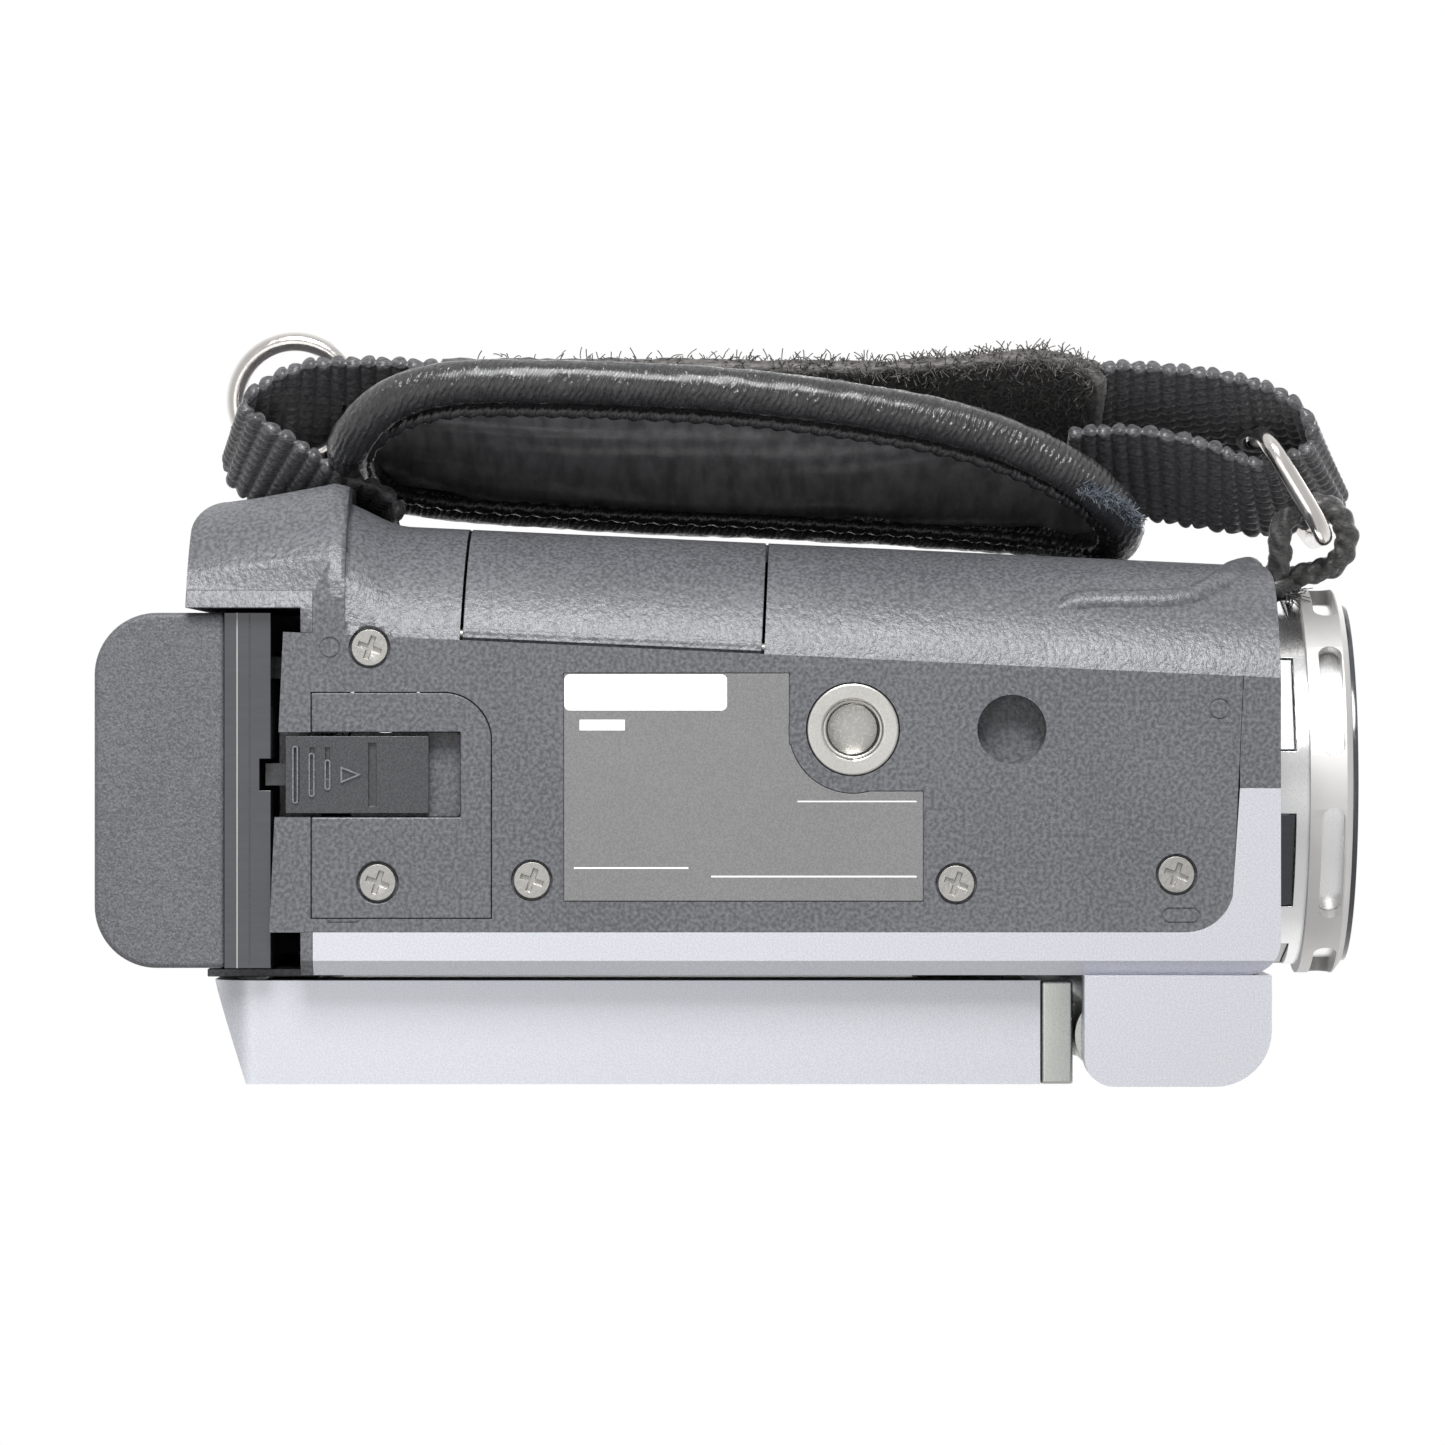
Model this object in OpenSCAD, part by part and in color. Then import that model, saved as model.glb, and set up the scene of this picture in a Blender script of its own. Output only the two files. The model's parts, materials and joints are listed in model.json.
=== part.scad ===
// Small flash-memory camcorder with folded display, rear battery and hand strap.
// Origin: mouth of the tripod socket, in the plane of the flat base.
// -Y is the way the lens looks, +X is the display side, -X the grip side, +Z up.

/* [Body] */
// Height of the body
body_h = 58; // [57.8:0.1:58.2]
// Distance from the tripod socket to the front face
body_front = 37.7; // [37.6:0.1:37.8]
// Distance from the tripod socket to the rear edge of the base
base_rear = 48.7; // [48.6:0.1:48.8]
// Distance from the tripod socket to the end of the grip-side hump
hump_rear = 59.5; // [59.4:0.1:59.6]
// Display-side wall of the body
side_x = 21.7; // [21.65:0.05:21.75]
// Grip side of the body beside the tripod socket
grip_left = -16.4; // [-16.5:0.1:-16.3]
// Angle at which the grip side tapers towards the lens
grip_slant = 2.64; // [2.6:0.02:2.7]
// Lower rounding radius of the grip side
grip_low_r = 14.2; // [14.1:0.1:14.3]
// Upper rounding radius of the grip side
grip_top_r = 20; // [19:0.5:20.5]
// Wall thickness of the casings
wall = 1.6; // [1.5:0.1:1.6]
// Running gap between a moving cover and its neighbours
gap = 0.25; // [0.2:0.05:0.3]

/* [Base] */
// Display-side edge of the dark base
base_edge = 17.9; // [17.8:0.1:18]
// Radius of the tripod thread
tripod_r = 2.6; // [2.5:0.1:2.6]
// Depth of the tripod thread
tripod_depth = 5.5; // [5.4:0.1:5.6]
// Distance from the tripod thread to the locating-pin hole
pin_pitch = 14; // [13.9:0.1:14.1]
// Radius of the locating-pin hole
pin_r = 3.05; // [3:0.05:3.1]
// Radius of a base screw head
screw_r = 1.6; // [1.5:0.1:1.6]

/* [Lens] */
// Height of the lens axis above the base
lens_z = 30; // [29.8:0.1:30.2]
// Sideways place of the lens axis
lens_x = 4.8; // [4.7:0.1:4.9]
// Radius of the front ring
ring_r = 17.7; // [17.6:0.1:17.8]
// Distance from the tripod socket to the front of the ring
ring_front = 45.8; // [45.7:0.1:45.9]
// Number of slots around the front ring
ring_slots = 7; // [7:1:7]

/* [Display] */
// Inner face of the folded display
lcd_in = 22.3; // [22.3:0.05:22.35]
// Outer face of the folded display
lcd_out = 31.5; // [31.4:0.1:31.6]
// Lower edge of the display
lcd_z0 = 4.5; // [4.4:0.1:4.6]
// Upper edge of the display
lcd_z1 = 54.5; // [54.4:0.1:54.6]
// Rear end of the display at its inner face
lcd_rear = 56.8; // [56.7:0.1:56.9]

/* [Battery] */
// Width of the battery
battery_w = 31.4; // [31.3:0.1:31.5]
// Height of the battery
battery_h = 45; // [44.9:0.1:45.1]
// Rear face of the battery
battery_rear = 67; // [66.9:0.1:67.1]

/* [Hidden] */
$fn = 96;
eps = 0.01;

// Colours
dark = [0.27, 0.28, 0.30];
black = [0.08, 0.08, 0.09];
silver = [0.72, 0.74, 0.80];
metal = [0.75, 0.75, 0.74];
board = [0.10, 0.35, 0.22];
glassy = [0.35, 0.42, 0.48];

// Body outline
corner_r = 3;
side_top_r = 6;
side_chamfer = 1.3;
split_z = 50;
grip_low_z = grip_low_r - 0.6;
hump_start = 46.4;
hump_left = -20.6;
crease_x = grip_left + grip_low_r - sqrt(grip_low_r * grip_low_r - grip_low_z * grip_low_z);
nose_x = 5.2;
nose_y = -34.1;
far = 90;

// Battery bay
bay_split = base_rear - 1.1;
bay_left = -10.7;
bay_floor = 7;
bay_roof = 48.2;
battery_x0 = -10.3;
battery_x1 = battery_x0 + battery_w;
battery_z0 = 1.5;
battery_front = 51.4;
battery_split = 55.5;
rail_z0 = 9;
rail_z1 = 40;
rail_x = [-5.5, 16.3];

// Base features
screws = [[-7.2, 42.6], [13.5, 41.9], [13.3, 28.3], [13.6, -9.1], [12.8, -28.5]];
lever_x0 = 0.6;
lever_x1 = 7.4;
lever_y0 = 37.4;
lever_y1 = 50;
lever_travel = 2.3;

// Jack cover, in the slanted frame of the grip side
jack_y0 = 7.6;
jack_y1 = 34;
jack_top = 19;
jack_pin = [9.6, 1.15];
jack_pin_r = 0.45;
jack_barrel_r = 0.98;
jack_space_r = 1.2;

// Display hinge
hinge_x = 27.2;
hinge_y = -23.6;
knuckle_r = 4.1;
sweep_r = 6.3;
panel_front = -16.7;
cap_front = -19.6;
block_rear = -20.4;
block_front = -36.9;

// Lens barrel, measured along Y
lens_bore = 16.95;
front_ring_r = 19.2;
front_y = -34.9;
ring_rear = -41.4;
ring_lip = -(ring_front - 0.5);
slot_y = -43.5;

// Buttons: centres in plan, and across the hump
photo_c = [-3, 44];
zoom_c = [-3, 31];
start_c = [-15.5, 30];
start_r = 3.4;
bay_buttons = [13, 20];
mic_x = [-1.9, 1.9];
mic_z = 7.5;
lamp_x = [6, 10, 14];
lamp_z = 54;
lamp_r = 0.9;

// Strap. Each station of the pad: y, x of its lower edge, x of its upper edge.
pad_z0 = 9;
pad_z1 = 43;
pad_r = 2.2;
pad_stations = [
    [42.4, -25.5, -22.6], [36, -30, -22.2], [20, -30.8, -21.6], [0, -30.4, -20.9],
    [-14, -27.4, -20.2], [-22.6, -22.6, -19.4]];
web_t = 0.6;
web_z0 = 19.5;
web_z1 = 32.5;
ring_c = [-30.2, 50.8, 26];
ring_major = 5.4;
ring_wire = 0.75;
link_pivot = [-26.8, -37.7, 26];
link_turn = -31;
link_w = 10.8;
link_h = 15.6;
link_r = 3;
link_wire = 0.85;
cord_c = [-17.8, -40.6, 26];
cord_major = 4.6;
cord_r = 0.7;
lug = [-13.8, -35.7];
lug_r = 2.3;

// Keeps the world frame for shapes drawn in the slanted frame of the grip side
module slanted() {
    translate([grip_left, 0, 0])
        rotate([0, 0, grip_slant])
            children();
}

// Extrudes an outline in X and Z along Y
module along_y(y0, y1) {
    translate([0, y1, 0])
        rotate([90, 0, 0])
            linear_extrude(y1 - y0)
                children();
}

// A box given by two corners
module block(a, b) {
    translate(a)
        cube(b - a);
}

// Rounded rectangle given by two corners, with true arcs
module rounded(a, b, r) {
    translate([a[0] + r, a[1]])
        square([b[0] - a[0] - 2 * r, b[1] - a[1]]);
    translate([a[0], a[1] + r])
        square([b[0] - a[0], b[1] - a[1] - 2 * r]);
    for (x = [a[0] + r, b[0] - r])
        for (y = [a[1] + r, b[1] - r])
            translate([x, y])
                circle(r);
}

// A cylinder along Y on the lens axis
module lens_cylinder(r, y0, y1) {
    translate([lens_x, y1, lens_z])
        rotate([90, 0, 0])
            cylinder(r = r, h = y1 - y0);
}

// Section of the grip side, its outermost line at x = shift, inset by t
module grip_section(shift, t) {
    intersection() {
        translate([shift, t])
            square([far, body_h - 2 * t]);
        union() {
            translate([shift + grip_low_r, grip_low_z])
                circle(grip_low_r - t);
            translate([shift + grip_top_r, body_h - grip_top_r])
                circle(grip_top_r - t);
            translate([shift + t, grip_low_z])
                square([far, body_h - grip_top_r - grip_low_z]);
            translate([shift + grip_low_r, 0])
                square([far, grip_low_z + 1]);
            translate([shift + grip_top_r, grip_low_z])
                square([far, far]);
        }
    }
}

// Plan of the body, inset by t
module body_plan(t) {
    hull() {
        for (p = [
            [side_x - corner_r, corner_r - body_front], [-13, corner_r - body_front],
            [-17.4, hump_rear - corner_r - 0.8], [side_x - corner_r, hump_rear - corner_r]])
            translate(p)
                circle(corner_r - t, $fn = 48);
    }
}

// Section of the display side, inset by t: rounded above, chamfered below
module side_section(t) {
    c = side_chamfer - 0.586 * t;
    x = side_x - t;
    difference() {
        rounded([-60, -20], [x, body_h - t], side_top_r - t);
        polygon([[x - c, t], [x + 1, t + c + 1], [x + 1, -30], [x - c, -30]]);
    }
}

// The whole body as one solid, inset by t, with the battery bay left open
module envelope(t) {
    difference() {
        intersection() {
            union() {
                slanted()
                    along_y(-60, hump_start + 2 * t)
                        grip_section(0, t);
                along_y(hump_start - 1.6 + t, far)
                    grip_section(hump_left, t);
            }
            translate([0, 0, t])
                linear_extrude(body_h - 2 * t)
                    body_plan(t);
            along_y(-60, far)
                side_section(t);
        }
        block([bay_left - t, base_rear - t, -5], [60, far, bay_roof + t]);
    }
}

// The hollow casing that the shells are cut from
module casing() {
    difference() {
        envelope(0);
        envelope(wall);
    }
}

// Plan of the dark side: everything inside the silver trim line
module dark_plan() {
    arc_r = 4.3;
    arc_c = [base_edge - arc_r, -29.3];
    polygon(concat(
        [[-60, far], [base_edge, far]],
        [for (a = [0:-7.5:-75]) arc_c + arc_r * [cos(a), sin(a)]],
        [[nose_x, nose_y], [nose_x, -60], [-60, -60]]));
}

// Plan of the flat base between the grip crease and the trim line
module base_plan() {
    intersection() {
        dark_plan();
        slanted_plan();
    }
}

// Plan of everything on the display side of the crease, up to the bay
module slanted_plan() {
    translate([grip_left, 0])
        rotate(grip_slant)
            translate([crease_x - grip_left, front_y])
                square([far, base_rear + 36]);
}

// Plan of the separate base plate beside the battery, inset by t
module corner_plan(t) {
    a = [-3.3 + t, 31.8 + t];
    b = [base_edge - 1.2 - t, base_rear - 0.9 - t];
    r = 4.3;
    difference() {
        translate(a)
            square(b - a);
        translate(a - [eps, eps])
            difference() {
                square(r);
                translate([r, r])
                    circle(r);
            }
    }
}

// Opening for the release lever and its travel
module lever_recess() {
    block([lever_x0 - 0.35, lever_y0 - lever_travel - 0.5, -1],
          [lever_x1 + 0.35, far, wall + 0.9]);
}

module screw_holes() {
    for (s = screws)
        translate([s[0], s[1], -1]) {
            cylinder(r = screw_r + 0.25, h = 1 + 0.75);
            cylinder(r = 0.85, h = 5);
        }
}

// Outline of the rating label, with its concave corner round the tripod socket
module label_plan(t) {
    difference() {
        union() {
            translate([-5 + t, 5.55 + t])
                square([20.2 - 2 * t, 20 - 2 * t]);
            translate([5.4 + t, t - 6.25])
                square([9.8 - 2 * t, 15]);
            translate([1.3 + t, 0.5 + t])
                square(7);
        }
        circle(5.6 + t);
    }
}

module tripod_and_pin_holes() {
    translate([0, 0, -1])
        cylinder(r = 4.15, h = 8);
    translate([0, -pin_pitch, -1])
        cylinder(r = pin_r, h = 1 + 3.2);
}

module base_cover() {
    color(dark)
        difference() {
            union() {
                linear_extrude(wall)
                    base_plan();
                translate([0, -pin_pitch, 0])
                    cylinder(r = pin_r + 1.1, h = 4.3);
            }
            translate([0, 0, -1])
                linear_extrude(5)
                    corner_plan(0);
            lever_recess();
            screw_holes();
            tripod_and_pin_holes();
            translate([0, 0, -1])
                linear_extrude(1.25)
                    label_plan(0);
            for (p = [[-7.2, 46.1], [-1.8, -32.3]])
                translate([p[0], p[1], 0])
                    moulded_ring(0.95, 0);
            for (y = [44.9, -28.9])
                translate([16.6 - 0.2, y, 0])
                    moulded_ring(0.7, 1);
            jack_swing_space();
        }
}

// Fine groove round a moulded pad
module moulded_ring(r, half) {
    translate([0, 0, -1])
        difference() {
            linear_extrude(1.12)
                pad_outline(r, half);
            linear_extrude(1.2)
                pad_outline(r - 0.16, half);
        }
}

module pad_outline(r, half) {
    for (s = [-1, 1])
        translate([0, s * half])
            circle(r);
    if (half > 0)
        translate([-r, -half])
            square([2 * r, 2 * half]);
}

module base_corner_plate() {
    color(dark)
        difference() {
            linear_extrude(wall)
                corner_plan(0.08);
            lever_recess();
            screw_holes();
        }
}

module release_lever() {
    color(black) {
        difference() {
            block([lever_x0, lever_y0, 0.2], [lever_x1, lever_y1, 1.9]);
            for (i = [0:2])
                block([lever_x0 + 1, lever_y1 - 1.2 - 1.35 * i, -1],
                      [lever_x1 - 1 - i, lever_y1 - 0.8 - 1.35 * i, 0.45]);
            block([lever_x0 + 0.6, lever_y0 + 4.6, -1], [lever_x1 - 0.6, lever_y0 + 5.3, 0.6]);
        }
        block([lever_x0 + 2, lever_y1 - 3, 1.9], [lever_x1 - 2, lever_y1, 5.5]);
        block([lever_x0 + 2.4, lever_y1, 3.2], [lever_x1 - 2.4, lever_y1 + 2, 5.5]);
    }
}

// Everything that the jack cover needs when it swings
module jack_swing_space() {
    slanted()
        along_y(jack_y0 - gap, jack_y1 + gap)
            translate(jack_pin)
                circle(jack_space_r);
}

// Region of the grip side that the jack cover fills, grown by g
module jack_region(g) {
    slanted()
        block([-9, jack_y0 - g, -9], [jack_pin[0] + 0.3 + g, jack_y1 + g, jack_top + g]);
}

// Slots and pockets in the grip side for the strap
module strap_slots() {
    block([-30, 41.4, 19], [-14.5, 45.0, 37]);
    block([-20, -45, 24.8], [-11.9, -34.2, 27.2]);
}

module grip_shell() {
    color(dark)
        difference() {
            union() {
                intersection() {
                    casing();
                    translate([0, 0, -1])
                        linear_extrude(split_z + 1)
                            dark_plan();
                    grip_limits();
                }
                for (y = [jack_y0 - gap - 1.5, jack_y1 + gap])
                    intersection() {
                        envelope(0.3);
                        slanted()
                            along_y(y, y + 1.5)
                                translate(jack_pin)
                                    circle(1.1);
                        grip_limits();
                    }
                difference() {
                    translate([lug[0], lug[1], 21])
                        cylinder(r = lug_r, h = 10, $fn = 48);
                    lens_cylinder(front_ring_r + gap, -60, front_y);
                }
            }
            jack_region(gap);
            jack_swing_space();
            slanted()
                along_y(jack_y0 - 3, jack_y1 + 3)
                    translate(jack_pin)
                        circle(jack_pin_r);
            strap_slots();
            start_hole();
            screw_holes();
            bay_wall();
            lens_cylinder(lens_bore, -60, -20);
        }
}

// Hole for the start and stop button in the rear of the hump
module start_hole() {
    translate([start_c[0], hump_rear + 1, start_c[1]])
        rotate([90, 0, 0])
            cylinder(r = start_r + 0.35, h = 5);
}

// Front wall of the battery bay
module bay_wall() {
    block([bay_left, base_rear - wall, wall], [side_x - wall, base_rear, bay_roof]);
}

// Grip side: left of the crease on the base, and all of the hump
module grip_limits() {
    difference() {
        slanted()
            block([-20, -60, -5], [crease_x - grip_left, far, split_z + 10]);
        block([bay_left - wall, bay_split, -5], [60, far, split_z]);
    }
    block([-30, bay_split, -5], [bay_left - wall, far, split_z]);
}

module front_bezel() {
    color(dark)
        difference() {
            union() {
                intersection() {
                    casing();
                    difference() {
                        block([-60, -60, -5], [nose_x, front_y + 0.8, split_z]);
                        slanted()
                            block([-20, -60, -9], [crease_x - grip_left, far, 99]);
                    }
                }
                intersection() {
                    envelope(wall);
                    lens_cylinder(front_ring_r, -40, -35);
                }
            }
            translate([0, 0, -1])
                linear_extrude(1 + wall + gap)
                    offset(delta = 0.05)
                        base_plan();
            block([-60, front_y, wall + gap], [60, far, split_z]);
            lens_cylinder(lens_bore, -60, -20);
            for (x = mic_x)
                translate([x, -30, mic_z])
                    rotate([90, 0, 0])
                        linear_extrude(20)
                            rounded([-1.3, -0.45], [1.3, 0.45], 0.4);
        }
}

module block_plan(t) {
    hull() {
        translate([side_x - 2.5 + t, block_front + t])
            square([1, block_rear - block_front - 2 * t]);
        translate([lcd_out - 2.6, block_rear - 2.6])
            circle(2.6 - t, $fn = 32);
        translate([lcd_out - 5, block_front + 5])
            circle(5 - t, $fn = 40);
    }
}

module display_side_shell() {
    color(silver)
        difference() {
            union() {
                difference() {
                    intersection() {
                        casing();
                        block([-60, -60, -5], [60, bay_split, split_z]);
                    }
                    translate([0, 0, -5])
                        linear_extrude(far)
                            dark_plan();
                }
                difference() {
                    linear_extrude(split_z)
                        block_plan(0);
                    translate([0, 0, 1.4])
                        linear_extrude(far)
                            block_plan(1.4);
                    block([-60, -60, -5], [side_x, far, far]);
                }
                block([side_x - eps, block_front + 4, 1.3],
                      [side_x + 1, block_rear - 0.8, split_z]);
            }
            lens_cylinder(lens_bore, -60, -20);
            bay_wall();
            translate([hinge_x, hinge_y, lcd_z0 - 0.5])
                cylinder(r = sweep_r, h = far);
            block([hinge_x - knuckle_r - 2.6, hinge_y + 2, lcd_z0 - 0.5], [60, block_rear + 5, far]);
            block([18, block_front + 3.6, 21.6], [60, block_front + 6.6, 36.4]);
            for (z = bay_buttons)
                translate([18, 0, z])
                    rotate([0, 90, 0])
                        cylinder(r = 2.2, h = 6);
            block([18, 12, 30], [24, 36, 33.2]);
            for (i = [0:5])
                for (j = [0:4])
                    translate([18, 18 + 2 * i, 40 + 2 * j])
                        rotate([0, 90, 0])
                            cylinder(r = 0.5, h = 6);
        }
    color(silver)
        difference() {
            translate([hinge_x, hinge_y, 1.3])
                cylinder(r = 3.2, h = lcd_z0 - 1.8);
            translate([hinge_x, hinge_y, -1])
                cylinder(r = 1.2, h = 9);
        }
}

module top_cover() {
    color(silver)
        difference() {
            union() {
                intersection() {
                    casing();
                    block([-60, -60, split_z], [60, far, 80]);
                }
                difference() {
                    translate([0, 0, split_z])
                        linear_extrude(body_h - split_z - 1)
                            block_plan(0);
                    translate([0, 0, split_z - 1])
                        linear_extrude(body_h - split_z - 1.4)
                            block_plan(1.4);
                    block([-60, -60, -5], [side_x - 0.8, far, far]);
                }
                translate([hinge_x, hinge_y, lcd_z1 + 0.5])
                    cylinder(r = 3.2, h = 2);
            }
            translate([hinge_x, hinge_y, split_z - 1])
                cylinder(r = sweep_r, h = lcd_z1 + 0.5 - split_z + 1);
            block([hinge_x - knuckle_r - 2.6, hinge_y + 2, split_z - 1],
                  [60, block_rear + 5, lcd_z1 + 0.5]);
            translate([hinge_x, hinge_y, lcd_z1])
                cylinder(r = 1.2, h = 2.5);
            translate([photo_c[0], photo_c[1], split_z])
                cylinder(r = 3.4, h = 20);
            translate([zoom_c[0], zoom_c[1], split_z])
                cylinder(r = 1.6, h = 20);
            for (x = lamp_x)
                translate([x, hump_rear + 1, lamp_z])
                    rotate([90, 0, 0])
                        cylinder(r = lamp_r + 0.05, h = 4);
        }
}

module rear_panel() {
    color(dark)
        difference() {
            union() {
                intersection() {
                    casing();
                    difference() {
                        block([bay_left - wall, bay_split, -1], [60, far, split_z]);
                        translate([0, 0, -1])
                            linear_extrude(1 + wall)
                                base_plan();
                    }
                }
                bay_wall();
                block([side_x - wall, bay_split, bay_floor],
                      [side_x + 0.35, base_rear, bay_roof + 1]);
                block([battery_x1 + gap, bay_split, bay_floor],
                      [side_x + 0.35, 57.4, bay_roof + 1]);
                block([-2, base_rear - eps, bay_floor], [8.6, battery_front - 0.4, 12]);
                for (x = rail_x) {
                    block([x - 1, base_rear, rail_z0], [x + 1, battery_front + 1.8, rail_z1]);
                    block([x - 2, battery_front + 0.5, rail_z0],
                          [x + 2, battery_front + 1.8, rail_z1]);
                }
            }
            block([lever_x0 - 0.4, 40, -1], [lever_x1 + 0.4, far, 6.2]);
            block([8.6, base_rear - 3, 12], [13.4, base_rear + 1, 30]);
            start_hole();
        }
}

module chassis_frame() {
    color(metal)
        difference() {
            union() {
                block([-3.6, -29, 4.6], [16.4, 34, 5.8]);
                translate([0, 0, wall])
                    cylinder(r = 6.4, h = 4.2);
                for (s = [screws[2], screws[3]])
                    translate([s[0], s[1], wall])
                        cylinder(r = 2.1, h = 3.2);
                block([-3.6, 7.6, 5.8], [16.4, 9, 44]);
            }
            cylinder(r = 4.15, h = 7);
            for (s = screws)
                translate([s[0], s[1], 0])
                    cylinder(r = 0.8, h = 9);
            translate([0, -pin_pitch, 0])
                cylinder(r = pin_r + 1.3, h = 9);
            lens_cylinder(14.1, -30, 6.6);
            lens_cylinder(5, 0, 20);
        }
}

module main_board() {
    color(board) {
        block([14.6, 12, 8], [15.8, 45, 48]);
        block([13.2, 16, 14], [14.6, 26, 24]);
        block([13.2, 30, 30], [14.6, 38, 42]);
        block([13.6, 18, 34], [14.6, 24, 42]);
    }
}

module tripod_socket() {
    color(metal)
        difference() {
            cylinder(r = 4.1, h = tripod_depth + 1.2);
            translate([0, 0, -1])
                cylinder(r = tripod_r, h = 1 + tripod_depth);
        }
}

module base_screws() {
    color(metal)
        for (s = screws)
            translate([s[0], s[1], 0])
                difference() {
                    union() {
                        translate([0, 0, 0.15])
                            cylinder(r = screw_r, h = 0.6);
                        cylinder_from(0.7, 0.8, 4.4);
                    }
                    for (a = [20, 110])
                        rotate(a)
                            block([-1.05, -0.22, -1], [1.05, 0.22, 0.5]);
                }
}

module cylinder_from(z, r, h) {
    translate([0, 0, z])
        cylinder(r = r, h = h);
}

module rating_label() {
    color([0.33, 0.34, 0.36])
        translate([0, 0, 0.05])
            linear_extrude(0.2)
                label_plan(0.08);
}

module jack_cover() {
    color(dark)
        difference() {
            union() {
                intersection() {
                    casing();
                    jack_region(0);
                }
                slanted()
                    along_y(jack_y0, jack_y1)
                        translate(jack_pin)
                            circle(jack_barrel_r);
            }
            slanted()
                along_y(jack_y0 - 3, jack_y1 + 3)
                    translate(jack_pin)
                        circle(jack_pin_r + 0.05);
        }
}

module jack_hinge_pin() {
    color(metal)
        slanted()
            along_y(jack_y0 - gap - 1.3, jack_y1 + gap + 1.3)
                translate(jack_pin)
                    circle(jack_pin_r);
}

module jack_sockets() {
    color(black)
        difference() {
            union() {
                for (y = [10.5, 19.5])
                    block([-11.8, y, 9], [-4.5, y + 7, 18]);
                block([-11.8, 28.5, 10], [-4.5, 33, 17]);
                block([-4.5, 10.5, 8], [-3.4, 33, 20]);
            }
            for (y = [14, 23])
                translate([-13, y, 13.5])
                    rotate([0, 90, 0])
                        cylinder(r = 2.2, h = 6);
            block([-13, 29.6, 11.4], [-7, 31.9, 15.6]);
        }
}

module lens_tube() {
    color(black)
        difference() {
            lens_cylinder(14, -35.6, 6.2);
            lens_cylinder(12.8, -36, 4.8);
            lens_cylinder(4, 0, 9);
        }
}

module lens_collar() {
    color(silver)
        difference() {
            lens_cylinder(lens_bore - 0.05, ring_rear, -35.7);
            lens_cylinder(14.4, -50, -30);
            for (i = [0:ring_slots - 1])
                at_slot(i)
                    block([-4.7, -40.2, -20], [4.7, -38.6, -15.4]);
        }
}

// Turns children from straight below the lens axis to slot i
module at_slot(i) {
    translate([lens_x, 0, lens_z])
        rotate([0, (i + 0.5) * 360 / ring_slots, 0])
            children();
}

module collar_windows() {
    color(black)
        for (i = [0:ring_slots - 1])
            at_slot(i)
                block([-4.6, -40.15, -16.2], [4.6, -38.65, -15.42]);
}

module lens_ring() {
    color(silver)
        difference() {
            union() {
                lens_cylinder(ring_r, ring_lip + 0.6, ring_rear);
                translate([lens_x, ring_lip + 0.6, lens_z])
                    rotate([90, 0, 0])
                        cylinder(r1 = ring_r, r2 = ring_r - 0.8, h = 0.6);
            }
            lens_cylinder(16.3, -60, -30);
            for (i = [0:ring_slots - 1])
                at_slot(i)
                    hull()
                        for (x = [-4.5, 4.5])
                            translate([x, slot_y, -19])
                                cylinder(r = 1.05, h = 4, $fn = 32);
        }
}

module ring_liner() {
    color(metal)
        difference() {
            lens_cylinder(16.28, ring_lip, ring_rear);
            lens_cylinder(15.6, -60, -30);
        }
}

module front_rim() {
    color(black)
        difference() {
            union() {
                lens_cylinder(15.55, -ring_front, ring_lip + 0.1);
                lens_cylinder(16.6, -ring_front, ring_lip);
            }
            translate([lens_x, -30, lens_z])
                rotate([90, 0, 0])
                    linear_extrude(30)
                        rounded([-10, -6.4], [10, 6.4], 6);
        }
}

module front_element() {
    color(glassy)
        intersection() {
            lens_cylinder(13.6, -43.6, -38.4);
            translate([lens_x, -18.4, lens_z])
                sphere(r = 25);
        }
}

// Half of the lens cover; side is +1 above the axis, -1 below it
module blade(side) {
    intersection() {
        lens_cylinder(9.2, ring_lip + 0.2, ring_lip + 0.8);
        translate([lens_x - 20, -60, lens_z + (side > 0 ? 0.06 : -20.06)])
            cube([40, 60, 20]);
    }
}

module upper_blade() {
    color(black)
        blade(1);
}

module lower_blade() {
    color(black)
        blade(-1);
}

module guide_rods() {
    color(metal)
        for (s = [-1, 1])
            translate([lens_x, 4.8, lens_z + 10.8 * s])
                rotate([90, 0, 0])
                    cylinder(r = 0.75, h = 38);
}

// Lens element with its flange, running on the guide rods
module running_lens(y, h, bulge) {
    color(glassy)
        difference() {
            union() {
                lens_cylinder(12.4, y, y + h);
                intersection() {
                    lens_cylinder(8, y - 5, y + h / 2);
                    translate([lens_x, y + 20 - bulge, lens_z])
                        sphere(r = 20);
                }
            }
            for (s = [-1, 1])
                translate([lens_x, 20, lens_z + 10.8 * s])
                    rotate([90, 0, 0])
                        cylinder(r = 0.8, h = 60);
        }
}

module zoom_lens() {
    running_lens(-24, 3, 1.6);
}

module focus_lens() {
    running_lens(-8, 2.2, 1);
}

module sensor_board() {
    color(board)
        difference() {
            block([-3, 6.25, 20], [13, 7.5, 40]);
            for (z = [22, 38])
                translate([11, 12, z])
                    rotate([90, 0, 0])
                        cylinder(r = 0.8, h = 9);
        }
}

module image_sensor() {
    color(glassy)
        block([lens_x - 2.6, 5.2, lens_z - 2], [lens_x + 2.6, 6.25, lens_z + 2]);
}

module terminal_block() {
    color(black)
        difference() {
            block([8.7, base_rear - 2.8, 12.1], [13.3, battery_front - 0.6, 29.9]);
            for (z = [14:4:26])
                block([9.8, base_rear - 1, z], [12.2, 60, z + 1.6]);
        }
}

module hinge_pins() {
    color(metal)
        for (z = [lcd_z0 - 1.9, lcd_z1 - 2])
            translate([hinge_x, hinge_y, z])
                cylinder(r = 1.2, h = 3.9);
}

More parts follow.
